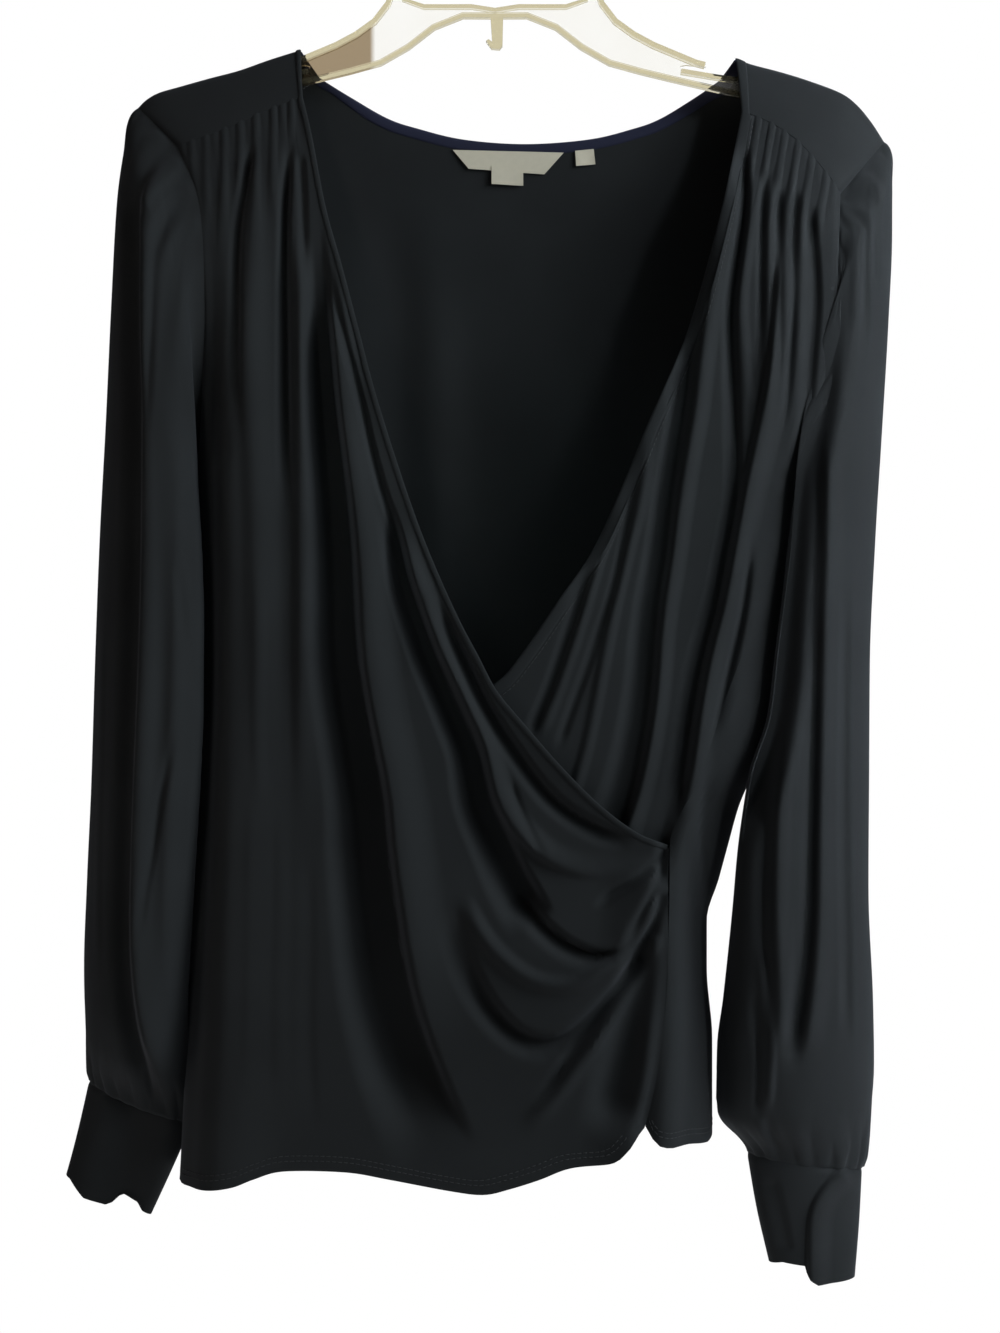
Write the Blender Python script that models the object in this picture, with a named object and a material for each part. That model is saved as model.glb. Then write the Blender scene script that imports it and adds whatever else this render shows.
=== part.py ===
"""A long-sleeved wrap top of thin jersey on a clear plastic hanger.

Every table is in millimetres. x runs to the right, depth y runs to the back, and drop is the
distance below the inner top of the hanger's hook, so z = -drop. Each cloth panel is a sheet
whose points come from its seam lines, a base depth and a table of folds.
"""

import math

import bmesh
import bpy
import numpy as np
from mathutils import Vector
from mathutils.geometry import tessellate_polygon

MM = 0.001
CLOTH = 1.2
SEAM_GAP = 0.5
ARMHOLE_GAP = 0.6
OVER_BAND = 3.2
UNDER_BAND = 6.5
NECK_BAND = 6.0
BAND_WALL = 1.6
LABEL_WALL = 0.5
ARM_THICK = 5.2
WEB_THICK = 2.0
HOOK_WIRE = 3.6
HOOK_BEND = 20.0

OVER_COLUMNS, UNDER_COLUMNS = 37, 31
ARMHOLE_STEPS_FRONT, ARMHOLE_STEPS_BACK, YOKE_STEPS = 11, 8, 5
FRONT_ROWS = 24
SLEEVE_ROWS = 16
YOKE_CORNER = 0.12
CUFF_AROUND, CUFF_ROWS = 20, 4

# Side lines of the body: drop, x of the edge, depth of the edge in front of the middle.
LEFT_FRONT_EDGE = (
    (196, -175.0, 15.0),
    (230, -162.0, 26.0),
    (285, -158.0, 32.0),
    (335, -160.0, 27.0),
    (366, -164.0, 11.0),
    (379, -167.0, 0.6),
    (440, -166.5, 0.6),
    (560, -167.5, 0.6),
    (680, -171.0, 0.6),
    (770, -175.0, 0.6),
)
LEFT_BACK_EDGE = (
    (192, -180.0, 15.0),
    (228, -164.0, 25.0),
    (280, -158.5, 30.0),
    (330, -160.0, 25.0),
    (364, -164.0, 11.0),
    (379, -167.0, 0.6),
    (440, -166.5, 0.6),
    (560, -167.5, 0.6),
    (680, -171.0, 0.6),
    (770, -175.0, 0.6),
)
RIGHT_FRONT_EDGE = (
    (223, 190.0, 17.0),
    (258, 187.5, 28.0),
    (284, 185.5, 33.0),
    (312, 183.0, 33.0),
    (345, 178.0, 27.0),
    (370, 170.5, 11.0),
    (383, 166.0, 0.0),
    (430, 161.0, 0.0),
    (500, 154.5, 0.0),
    (540, 147.0, 0.0),
    (562, 139.0, 0.0),
    (602, 124.0, 0.0),
    (624, 117.5, 0.0),
    (652, 119.0, 0.0),
    (690, 121.0, 0.0),
    (750, 121.0, 0.0),
)
RIGHT_BACK_EDGE = (
    (212, 203.0, 15.0),
    (245, 190.0, 25.0),
    (284, 185.0, 30.0),
    (312, 182.5, 30.0),
    (345, 178.0, 25.0),
    (370, 170.5, 11.0),
    (383, 166.0, 0.0),
    (430, 161.0, 0.0),
    (500, 154.5, 0.0),
    (540, 147.0, 0.0),
    (562, 139.0, 0.0),
    (602, 124.0, 0.0),
    (624, 117.5, 0.0),
    (652, 119.0, 0.0),
    (690, 121.0, 0.0),
    (750, 121.0, 0.0),
)
# Depth of the middle of the front and of the back: drop, depth.
FRONT_DEPTH = (
    (138, 0.0), (152, 7.0), (170, 13.0), (196, 19.0), (230, 27.0), (285, 34.0),
    (340, 38.0), (430, 42.0), (560, 45.0), (680, 47.0), (775, 49.0),
)
BACK_DEPTH = (
    (138, 0.0), (152, 11.0), (170, 15.0), (190, 18.0), (230, 23.0), (300, 29.0),
    (400, 34.0), (560, 38.0), (775, 40.0),
)
LEFT_ROUND, RIGHT_ROUND = 52.0, 42.0

# Edges of the two fronts: x, drop.
OVER_EDGE = (
    (-106.5, 167.5), (-101, 190), (-92.5, 232), (-83.5, 264), (-75, 296), (-65, 334),
    (-51.5, 377), (-38, 415), (-21.5, 453), (-8.5, 478), (1, 496), (15, 513), (35, 536),
    (56, 557), (76, 572), (93, 579),
)
UNDER_EDGE = (
    (136.4, 176), (131, 202), (122, 240), (112, 278), (101, 311), (84, 349), (70, 383),
    (53, 420), (34, 448), (14, 477), (-2, 494), (-50, 525), (-105, 556), (-156, 584),
)
# Rows of points where the pieces of that side meet, below the underarm.
SIDE_ROWS = (383, 391, 410, 440, 470, 497, 522, 545, 562, 579)
# The seam that closes the wearer's left side, underarm to hem: x, drop.
SIDE_SEAM = ((166, 383), (147, 440), (126, 497), (109, 545), (93, 579), (90, 643), (85, 697), (82, 735))
OVER_HEM = (
    (-175, 765), (-160, 763), (-145, 761), (-129, 756), (-113, 753), (-80, 754), (-56, 758),
    (-24, 764), (-6, 766), (8, 763), (24, 758), (40, 752), (67, 748), (74, 741), (82, 735),
)
UNDER_HEM = ((-170, 752), (-100, 748), (-30, 752), (40, 741), (66, 736), (80, 727))
BACK_HEM = ((-175, 765), (-120, 766), (-30, 768), (60, 764), (121, 752))
STRIP_HEM = ((121, 744), (104, 746), (94, 744), (82, 735))

# Yokes: neck end to armhole end, x and drop of the front seam, of the ridge and of the back seam.
LEFT_YOKE = {
    "front": ((-106.5, 167.5), (-124, 175), (-150, 187), (-175, 196)),
    "ridge": ((-108.5, 138.5), (-126, 144), (-143, 150), (-160, 154.5), (-176, 159), (-188, 162.5),
              (-195, 166.5), (-199.5, 171)),
    "back": ((-99, 151), (-125, 166), (-152, 179.5), (-180, 192)),
}
RIGHT_YOKE = {
    "front": ((136.4, 176), (152, 183), (165, 192), (175, 203), (182, 212), (190, 223)),
    "ridge": ((134.4, 143), (143, 146.5), (160, 151), (176, 156), (193, 162.5), (202, 169),
              (210, 178.5), (217.5, 190)),
    "back": ((126.5, 152.5), (145, 166.5), (165, 182), (185, 197.5), (203, 212)),
}
BACK_NECK = (
    (-99, 151), (-81, 161.5), (-61, 172.5), (-44, 178), (-18, 184), (17, 186.5), (53, 184),
    (77, 178.5), (93, 173), (112, 162), (126.5, 152.5),
)

# Armholes below the yoke corners, front corner to underarm and underarm to back corner: x, y, drop.
LEFT_ARMHOLE_FRONT = ((-175, -15, 196), (-162, -26, 230), (-158, -32, 285), (-160, -27, 335),
                      (-164, -11, 366), (-167, 0, 379))
LEFT_ARMHOLE_BACK = ((-167, 0, 379), (-164, 11, 364), (-160, 25, 330), (-158.5, 30, 280),
                     (-164, 25, 228), (-180, 15, 192))
RIGHT_ARMHOLE_FRONT = ((190, -17, 223), (187.5, -28, 258), (185.5, -33, 284), (183, -33, 312),
                       (178, -27, 345), (170.5, -11, 370), (166, 0, 383))
RIGHT_ARMHOLE_BACK = ((166, 0, 383), (170.5, 11, 370), (178, 25, 345), (182.5, 30, 312),
                      (185, 30, 284), (190, 25, 245), (203, 15, 212))

# Lines of cloth that run down a front, from its wrap edge or its side: share across the panel,
# share of the yoke seam where the line starts, share of the lower edge where it ends, points between.
OVER_LINES = (
    (0.00, 0.000, 0.000, None),
    (0.09, 0.14, 0.065, ((-152, 230), (-147, 320), (-146, 458), (-147, 610))),
    (0.20, 0.32, 0.125, ((-141, 230), (-131, 330), (-127, 469), (-126, 600))),
    (0.34, 0.55, 0.210, ((-125, 230), (-113, 340), (-105, 450), (-100, 600))),
    (0.46, 0.70, 0.330, ((-113, 230), (-98, 330), (-88, 430), (-76, 550), (-58, 670))),
    (0.57, 0.80, 0.450, ((-108.5, 230), (-88, 330), (-68.5, 440), (-51, 560), (-22, 670))),
    (0.68, 0.87, 0.580, ((-105, 230), (-81, 330), (-60, 420), (-41, 510), (-11, 610), (24, 690))),
    (0.79, 0.92, 0.790, ((-101.8, 230), (-76.3, 330), (-54, 412), (-32, 490), (-2, 566), (32, 622), (60, 640))),
    (0.90, 0.965, 0.910, ((-98.9, 230), (-72.7, 330), (-47.5, 410), (-21.5, 482), (8, 540), (42, 588), (70, 602))),
    (1.00, 1.000, 1.000, None),
)
UNDER_LINES = (
    (0.00, 0.000, 0.000, None),
    (0.12, 0.035, 0.220, ((132, 236), (108.5, 318), (79.5, 392), (44, 464), (2, 532), (-60, 600))),
    (0.24, 0.080, 0.400, ((135.5, 236), (115.5, 318), (91.5, 392), (64, 468), (30, 560), (-40, 660))),
    (0.38, 0.180, 0.560, ((141, 236), (125, 318), (106, 400), (84, 490), (54, 590), (0, 690))),
    (0.52, 0.380, 0.700, ((152, 240), (138, 320), (120, 400), (102, 480), (80, 570), (40, 680))),
    (0.68, 0.640, 0.830, ((165, 252), (152, 330), (134, 410), (114, 490), (92, 570), (66, 670))),
    (0.84, 0.840, 0.930, ((177, 268), (166, 340), (148, 410), (122, 480), (98, 560), (82, 650))),
    (1.00, 1.000, 1.000, None),
)

# Gathers under a yoke seam: share across the panel, depth, half width as a share, length.
OVER_GATHERS = (
    (0.055, 1.7, 0.024, 95), (0.110, 2.2, 0.026, 150), (0.165, 1.6, 0.024, 70), (0.220, 2.3, 0.027, 120),
    (0.280, 2.0, 0.028, 170), (0.340, 2.6, 0.028, 100), (0.400, 1.8, 0.027, 140), (0.460, 2.4, 0.028, 90),
    (0.520, 2.0, 0.028, 160), (0.585, 2.6, 0.030, 110), (0.660, 2.0, 0.034, 90), (0.740, 1.4, 0.036, 80),
)
UNDER_GATHERS = (
    (0.26, 1.2, 0.040, 110), (0.35, 2.0, 0.036, 160), (0.425, 1.6, 0.032, 90), (0.490, 2.4, 0.030, 140),
    (0.550, 1.8, 0.028, 100), (0.610, 2.5, 0.028, 170), (0.665, 1.7, 0.026, 90), (0.720, 2.4, 0.026, 130),
    (0.775, 1.8, 0.026, 100), (0.830, 2.3, 0.026, 140), (0.885, 1.7, 0.026, 80), (0.940, 1.6, 0.024, 70),
)

# Folds: name, height (minus for a trough), half width, sharpness, fade in, fade out, path of x, drop.
OVER_FOLDS = (
    ("armhole_trough", -3.5, 11, 1.0, 0.1, 0.5, ((-152, 215), (-150, 300), (-150, 420), (-152, 560))),
    ("side_ridge", 3.0, 12, 1.0, 0.2, 0.4, ((-141, 215), (-140, 340), (-138, 470), (-137, 640))),
    ("chest_ridge", 3.5, 12, 1.0, 0.1, 0.5, ((-126, 205), (-122, 320), (-118, 470), (-116, 660))),
    ("major_trough", -9.0, 19, 1.0, 0.15, 0.25, ((-103, 186), (-96, 264), (-91, 350), (-84, 458),
                                                (-73, 566), (-56, 670), (-36, 775))),
    ("centre_ridge", 7.0, 22, 1.0, 0.2, 0.3, ((-90, 255), (-76, 350), (-63, 453), (-47, 566),
                                             (-20, 663), (18, 770))),
    ("lap_trough", -6.0, 15, 1.0, 0.25, 0.15, ((-50, 430), (-39, 496), (-22, 560), (6, 606), (36, 632),
                                              (62, 636), (90, 618))),
    ("lap_ridge", 6.5, 11, 1.2, 0.2, 0.1, ((-53, 405), (-37, 458), (-19, 502), (4, 540), (30, 569),
                                          (62, 583), (92, 588))),
    ("edge_trough", -3.5, 9, 1.0, 0.25, 0.2, ((-39, 438), (-15, 488), (14, 527), (44, 556), (80, 578))),
    ("low_ridge", 6.0, 16, 1.0, 0.2, 0.1, ((-34, 600), (-8, 632), (22, 650), (52, 642), (90, 610))),
    ("low_trough", -5.5, 13, 1.0, 0.25, 0.1, ((-24, 622), (-6, 662), (22, 690), (52, 666), (88, 628))),
    ("hip_ridge", 5.0, 14, 1.0, 0.25, 0.15, ((-32, 650), (-4, 694), (28, 716), (56, 694), (88, 640))),
    ("hip_trough", -4.0, 13, 1.0, 0.3, 0.2, ((6, 752), (42, 726), (66, 690), (90, 650))),
    ("hem_trough", -3.0, 18, 1.0, 0.3, 0.0, ((-108, 640), (-103, 700), (-99, 775))),
)
UNDER_FOLDS = (
    ("edge_trough", -3.0, 9, 1.0, 0.3, 0.3, ((112, 300), (92, 352), (72, 400), (50, 450), (26, 492))),
    ("first_ridge", 3.5, 9, 1.2, 0.3, 0.2, ((94, 340), (77, 400), (58, 440), (38, 476), (18, 515))),
    ("second_ridge", 4.5, 11, 1.2, 0.3, 0.1, ((102, 335), (88, 392), (72, 440), (56, 496), (38, 552))),
    ("second_trough", -4.0, 10, 1.0, 0.3, 0.1, ((108, 322), (98, 380), (84, 440), (68, 500), (50, 556))),
    ("third_ridge", 4.5, 11, 1.0, 0.2, 0.1, ((127, 224), (118, 295), (107, 355), (97, 420), (86, 501),
                                            (68, 570))),
    ("third_trough", -4.5, 11, 1.0, 0.2, 0.1, ((133, 236), (126, 317), (117, 376), (107, 447), (95, 520),
                                              (80, 575))),
    ("fourth_ridge", 3.0, 10, 1.0, 0.2, 0.4, ((147, 205), (140, 262), (133, 310), (126, 360), (118, 430))),
    ("fifth_trough", -3.5, 10, 1.0, 0.2, 0.3, ((160, 225), (150, 285), (142, 335), (133, 390), (122, 450))),
    ("major_ridge", 7.5, 15, 1.1, 0.2, 0.2, ((171, 225), (163, 270), (153, 320), (144, 362), (132, 418),
                                            (120, 476), (110, 530), (105, 580), (106, 650), (104, 760))),
    ("side_trough", -6.0, 14, 1.0, 0.2, 0.5, ((178, 262), (167, 327), (157, 382), (147, 430), (135, 480),
                                             (124, 530), (122, 590))),
    ("seam_trough", -4.5, 11, 1.0, 0.25, 0.0, ((98, 560), (91, 600), (89, 650), (85, 697), (80, 760))),
)
BACK_FOLDS = (
    ("left_swell", 4.5, 26, 1.0, 0.2, 0.3, ((-60, 200), (-57, 300), (-56, 420), (-60, 560))),
    ("left_hollow", -4.0, 22, 1.0, 0.2, 0.3, ((-34, 240), (-34, 350), (-32, 460), (-36, 600))),
    ("middle_swell", 4.0, 24, 1.0, 0.2, 0.2, ((-12, 270), (-8, 380), (-4, 480), (-2, 700))),
    ("right_hollow", -5.0, 26, 1.0, 0.2, 0.2, ((30, 260), (36, 388), (42, 500), (44, 720))),
    ("right_swell", 5.0, 22, 1.0, 0.2, 0.2, ((78, 240), (82, 380), (80, 540), (78, 800))),
    ("side_swell", 5.0, 20, 1.0, 0.2, 0.0, ((-112, 230), (-112, 400), (-112, 600), (-114, 800))),
    ("side_hollow", -5.0, 17, 1.0, 0.3, 0.0, ((-88, 330), (-88, 500), (-86, 800))),
    ("far_hollow", -4.0, 14, 1.0, 0.2, 0.3, ((118, 240), (118, 380), (112, 520), (100, 640))),
)
LEFT_SLEEVE_FOLDS = (
    ("outer_ridge", 6.0, 15, 1.2, 0.15, 0.15, ((-190, 215), (-189, 300), (-190, 447), (-194, 534),
                                              (-195, 610), (-191, 669), (-180, 716))),
    ("head_ridge", 2.0, 6, 1.0, 0.0, 0.5, ((-188, 180), (-190, 215), (-190, 270))),
    ("head_trough", -2.5, 6, 1.0, 0.0, 0.5, ((-180, 185), (-178, 220), (-176, 280))),
    ("inner_ridge", 3.0, 9, 1.0, 0.2, 0.4, ((-172, 215), (-166, 280), (-166, 380), (-168, 480))),
    ("middle_trough", -5.0, 12, 1.0, 0.2, 0.3, ((-176, 230), (-176, 340), (-175, 447), (-180, 540),
                                               (-182, 640))),
    ("low_crease", 3.0, 8, 1.2, 0.2, 0.3, ((-168, 515), (-174, 550), (-182, 590), (-188, 640))),
    ("outer_trough", -4.0, 12, 1.0, 0.2, 0.3, ((-207, 260), (-208, 400), (-211, 540), (-212, 660))),
    ("lobe_ridge", 3.5, 9, 1.0, 0.3, 0.1, ((-178, 600), (-176, 660), (-172, 716))),
)
RIGHT_SLEEVE_FOLDS = (
    ("head_ridge", 2.4, 6, 1.0, 0.0, 0.5, ((206, 200), (204, 245), (203, 300))),
    ("head_trough", -2.6, 6, 1.0, 0.0, 0.5, ((198, 208), (195, 245), (191, 300))),
    ("inner_ridge", 6.5, 12, 1.3, 0.1, 0.1, ((186, 262), (181, 300), (176, 350), (170, 447), (166, 512),
                                            (161, 583), (156, 653), (148, 712), (142, 745))),
    ("inner_trough", -5.5, 11, 1.0, 0.2, 0.2, ((190, 330), (183, 410), (178, 500), (173, 590), (168, 680))),
    ("outer_ridge", 5.0, 13, 1.0, 0.2, 0.1, ((198, 300), (192, 382), (186, 458), (182, 534), (180, 599),
                                            (178, 668), (180, 738))),
    ("outer_trough", -4.5, 11, 1.0, 0.2, 0.2, ((207, 300), (203, 400), (197, 500), (195, 600), (196, 690))),
    ("cuff_ridge", 3.5, 8, 1.0, 0.4, 0.0, ((150, 625), (150, 670), (152, 720), (156, 752))),
    ("cuff_trough", -3.5, 7, 1.0, 0.4, 0.0, ((164, 650), (165, 700), (167, 752))),
    ("back_crease", -4.0, 10, 1.0, 0.2, 0.2, ((150, 540), (142, 600), (136, 660), (134, 720))),
)

# Sleeves: share of the way down, drop of the outer and the inner side, their y, depth of the
# front and of the back half, and how far the front and back are set in towards the body.
LEFT_SLEEVE = (
    (0.00, 171, 379, 0.0, 0.0, 32, 30, 24),
    (0.06, 182, 389, 1.0, -9.0, 36, 34, 18),
    (0.13, 210, 403, 2.0, -18.0, 37, 37, 9),
    (0.22, 262, 430, 2.0, -26.0, 37, 40, 3),
    (0.36, 350, 478, 2.0, -30.0, 38, 42, 0),
    (0.50, 440, 530, 2.0, -30.0, 39, 42, 0),
    (0.64, 530, 592, 2.0, -28.0, 40, 42, 0),
    (0.78, 613, 650, 2.0, -23.0, 40, 40, 0),
    (0.88, 662, 690, 1.0, -16.0, 39, 37, 0),
    (0.95, 693, 716, 0.0, -8.0, 32, 30, 0),
    (1.00, 711, 732, 0.0, 0.0, 18, 17, 0),
)
LEFT_SLEEVE_OUTER = ((171, -199.5), (182, -204), (196, -207.5), (222, -211), (278, -214), (345, -217),
                     (412, -220.5), (480, -223), (547, -225), (603, -227.5), (648, -229), (685, -228),
                     (712, -226))
LEFT_SLEEVE_INNER = ((376, -167), (392, -163), (409, -159), (436, -156.5), (469, -155.3), (510, -155.3),
                     (556, -158.6), (600, -163), (649, -166.8), (693, -170), (722, -173), (733, -176))
RIGHT_SLEEVE = (
    (0.00, 190, 383, 0.0, 0.0, 33, 30, -8),
    (0.06, 199, 392, 1.0, -12.0, 37, 34, -12),
    (0.13, 226, 406, 2.0, -24.0, 38, 37, -15),
    (0.22, 280, 433, 2.0, -36.0, 38, 42, -12),
    (0.36, 368, 481, 2.0, -42.0, 37, 44, -4),
    (0.50, 455, 533, 2.0, -42.0, 36, 44, 0),
    (0.64, 545, 596, 2.0, -34.0, 38, 42, 0),
    (0.78, 632, 662, 2.0, -22.0, 40, 40, 0),
    (0.88, 692, 706, 1.0, -15.0, 38, 36, 0),
    (0.95, 735, 737, 0.0, -7.0, 31, 28, 0),
    (1.00, 762, 754, 0.0, 0.0, 19, 18, 0),
)
RIGHT_SLEEVE_OUTER = ((190, 217.5), (199, 220), (215, 222), (240, 222), (289, 220), (356, 216),
                      (412, 212.5), (480, 209.5), (547, 209), (608, 208.5), (670, 211), (705, 211.5),
                      (738, 209), (762, 205.5))
RIGHT_SLEEVE_INNER = ((380, 166), (400, 162.5), (433, 158), (474, 153), (510, 149.5), (540, 143),
                      (584, 134.5), (622, 130), (666, 126), (693, 123), (723, 122.6), (741, 131),
                      (754, 141.7))
# Cuffs: share of the way down, outer x, outer drop, inner x, inner drop, half depth front and back.
LEFT_CUFF = (
    (0.0, -226.0, 711, -176.0, 732, 18, 17),
    (0.5, -232.0, 741, -183.0, 762, 16, 15),
    (1.0, -239.0, 771, -193.0, 789, 15, 14),
)
RIGHT_CUFF = (
    (0.0, 205.5, 762, 141.7, 754, 19, 18),
    (0.5, 204.5, 792, 147.0, 785, 16, 15),
    (1.0, 203.0, 823, 154.0, 815, 15, 14),
)

# Labels: corners x, drop in order round, depth step off the cloth.
MAIN_LABEL = ((-24, 190.0), (39, 191.5), (28, 203.5), (-15, 200.5))
LOWER_LABEL = ((-2, 199.0), (16, 201.0), (16, 210.0), (-2, 209.0))
SIZE_LABEL = ((45.5, 190.5), (56, 189.5), (57, 198.0), (46, 199.0))

# Hanger: x and drop of one half; the arms' tops lie under the yokes' ridges.
HANGER_TOP = ((0, 76), (14, 77), (30, 80.5), (45, 88), (55, 99), (59, 110), (64, 118), (73, 126),
              (88, 134.5), (102, 140.4), (112, 144.6))
ARM_TOP_LEFT = ((104, 149), (122, 152.5), (134, 154.6), (138, 154.4), (142, 153.9), (160, 157.8),
                (176, 162.3), (186, 165.7), (191, 169.3))
ARM_TOP_RIGHT = ((104, 149), (122, 152), (134, 153.8), (138, 152.4), (142, 150), (160, 154), (176, 159),
                 (186, 163.4), (191, 168.2))
HANGER_FOOT = ((191, 175), (186, 177.5), (160, 170), (134, 163.5), (87, 152.5), (62, 145.5), (43, 133.5),
               (33, 125.5), (23, 120.5), (12, 120), (0, 120))
WINDOW = ((0, 82), (22, 84.5), (38, 91), (48, 101), (51, 108), (48, 113.5), (42, 115), (0, 115))


# Curves and tables ---------------------------------------------------------------------------


def spline(points, shares, steps=12):
    """A smooth curve through the points, read at shares of its length."""
    given = np.asarray(points, float)
    padded = np.vstack([2 * given[0] - given[1], given, 2 * given[-1] - given[-2]])
    s = np.linspace(0, 1, steps, endpoint=False)[:, None]
    runs = []
    for a, b, c, d in zip(padded, padded[1:], padded[2:], padded[3:]):
        even = 2 * b + (c - a) * s + (2 * a - 5 * b + 4 * c - d) * s**2
        runs.append(0.5 * (even + (3 * b - a - 3 * c + d) * s**3))
    dense = np.vstack(runs + [given[-1:]])
    length = np.concatenate([[0], np.cumsum(np.linalg.norm(np.diff(dense, axis=0), axis=1))])
    length /= length[-1]
    return np.column_stack([np.interp(shares, length, dense[:, k]) for k in range(given.shape[1])])


def column(rows, at, which):
    """A smooth reading of one column of a table by its first column."""
    xs = np.array([row[0] for row in rows], float)
    ys = np.array([row[which] for row in rows], float)
    rise = np.diff(ys) / np.diff(xs)
    flat = rise[:-1] * rise[1:] <= 0
    safe = np.where(rise[:-1] + rise[1:] == 0, 1, rise[:-1] + rise[1:])
    inner = np.where(flat, 0, 2 * rise[:-1] * rise[1:] / safe)
    slope = np.concatenate([rise[:1], inner, rise[-1:]])
    at = np.clip(np.asarray(at, float), xs[0], xs[-1])
    i = np.clip(np.searchsorted(xs, at) - 1, 0, len(xs) - 2)
    h = xs[i + 1] - xs[i]
    s = (at - xs[i]) / h
    a = (2 * s**3 - 3 * s**2 + 1) * ys[i] + (s**3 - 2 * s**2 + s) * h * slope[i]
    b = (3 * s**2 - 2 * s**3) * ys[i + 1] + (s**3 - s**2) * h * slope[i + 1]
    return a + b


def ease(value):
    s = np.clip(value, 0, 1)
    return s * s * (3 - 2 * s)


def side_of(x, drop, path):
    """Nearest distance to a path, the share of the path there, and which side (plus is its left)."""
    line = spline(path, np.linspace(0, 1, 28))
    point = np.stack([x, drop], axis=-1)
    best = np.full(x.shape, 1e9)
    share = np.zeros(x.shape)
    side = np.ones(x.shape)
    for k, (a, b) in enumerate(zip(line, line[1:])):
        run = b - a
        t = np.clip(((point - a) @ run) / (run @ run), 0, 1)
        off = point - a - t[..., None] * run
        away = np.hypot(off[..., 0], off[..., 1])
        nearer = away < best
        best = np.where(nearer, away, best)
        share = np.where(nearer, (k + t) / (len(line) - 1), share)
        cross = run[0] * off[..., 1] - run[1] * off[..., 0]
        side = np.where(nearer, np.where(cross >= 0, 1.0, -1.0), side)
    return best, share, side


def folds_at(x, drop, folds):
    """Sum of the ridges and troughs of a table."""
    total = np.zeros(np.shape(x))
    for _, high, half, sharp, fade_in, fade_out, path in folds:
        away, share, _ = side_of(x, drop, path)
        shape = (0.5 + 0.5 * np.cos(np.pi * np.clip(away / half, 0, 1))) ** sharp
        rise = ease(share / fade_in) if fade_in else 1.0
        fall = ease((1 - share) / fade_out) if fade_out else 1.0
        total = total + high * shape * rise * fall
    return total


# Base forms ----------------------------------------------------------------------------------


def front_base(x, drop):
    """Depth of the front's plain form, minus towards the front."""
    middle = column(FRONT_DEPTH, drop, 1)
    left_x, left_y = column(LEFT_FRONT_EDGE, drop, 1), column(LEFT_FRONT_EDGE, drop, 2)
    right_x, right_y = column(RIGHT_FRONT_EDGE, drop, 1), column(RIGHT_FRONT_EDGE, drop, 2)
    left_in = np.clip((x - left_x) / LEFT_ROUND, 0, 1)
    right_in = np.clip((right_x - x) / RIGHT_ROUND, 0, 1)
    left = left_y + (middle - left_y) * np.sin(0.5 * np.pi * left_in)
    right = right_y + (middle - right_y) * np.sqrt(np.maximum(1 - (1 - right_in) ** 2, 0))
    return -np.minimum(left, right)


def back_base(x, drop):
    middle = column(BACK_DEPTH, drop, 1)
    left_x, left_y = column(LEFT_BACK_EDGE, drop, 1), column(LEFT_BACK_EDGE, drop, 2)
    right_x, right_y = column(RIGHT_BACK_EDGE, drop, 1), column(RIGHT_BACK_EDGE, drop, 2)
    left_in = np.clip((x - left_x) / LEFT_ROUND, 0, 1)
    right_in = np.clip((right_x - x) / RIGHT_ROUND, 0, 1)
    left = left_y + (middle - left_y) * np.sin(0.5 * np.pi * left_in)
    right = right_y + (middle - right_y) * np.sqrt(np.maximum(1 - (1 - right_in) ** 2, 0))
    return np.minimum(left, right)


def seam_x(drop):
    rows = [(d, x) for x, d in SIDE_SEAM]
    return column(rows, drop, 1)


def right_front_surface(x, drop):
    """The under front above the lap and the strip of the back beside it share this surface."""
    calm = ease((x - column(LEFT_FRONT_EDGE, drop, 1)) / 30)
    turn = ease((column(RIGHT_FRONT_EDGE, drop, 1) - x) / 14)
    return front_base(x, drop) - folds_at(x, drop, UNDER_FOLDS) * calm * turn


def inside_over(x, drop):
    """Distance from the over front's edge, plus on its own side."""
    away, _, side = side_of(x, drop, OVER_EDGE)
    return away * side


def over_surface(x, drop):
    calm = ease((x - column(LEFT_FRONT_EDGE, drop, 1)) / 26)
    own = front_base(x, drop) - folds_at(x, drop, OVER_FOLDS) * calm
    lap = ease((inside_over(x, drop) + 4) / 24)
    low = ease((drop - 400) / 60)
    own = own - 6.5 * low * (1 - 0.45 * lap) * ease((x - column(LEFT_FRONT_EDGE, drop, 1)) / 60)
    at_seam = right_front_surface(x, drop)
    near = ease(1 - (seam_x(drop) - x) / 16) * ease((drop - 555) / 24)
    return own * (1 - near) + at_seam * near


def under_surface(x, drop):
    shown = right_front_surface(x, drop)
    hidden = front_base(x, drop) * 0.62 + 1.0
    into = ease((inside_over(x, drop) - 2) / 34) * ease((drop - 440) / 40)
    near = ease(1 - (seam_x(drop) - x) / 16) * ease((drop - 560) / 20)
    tucked = shown + 2.8 * ease((drop - 566) / 12)
    blend = shown * (1 - into) + hidden * into
    return blend * (1 - near) + tucked * near


def back_surface(x, drop):
    left = ease((x - column(LEFT_BACK_EDGE, drop, 1)) / 30)
    right = ease((column(RIGHT_BACK_EDGE, drop, 1) - x) / 30)
    high = ease((drop - 175) / 60)
    return back_base(x, drop) + folds_at(x, drop, BACK_FOLDS) * left * right * high


# Sheets --------------------------------------------------------------------------------------


def grid_normals(points, closed=False):
    """Unit normals of a grid of points, first index down the rows, second across."""
    down = np.gradient(points, axis=0)
    if closed:
        across = (np.roll(points, -1, axis=1) - np.roll(points, 1, axis=1)) / 2
    else:
        across = np.gradient(points, axis=1)
    normal = np.cross(across, down)
    return normal / np.maximum(np.linalg.norm(normal, axis=2, keepdims=True), 1e-9)


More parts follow.
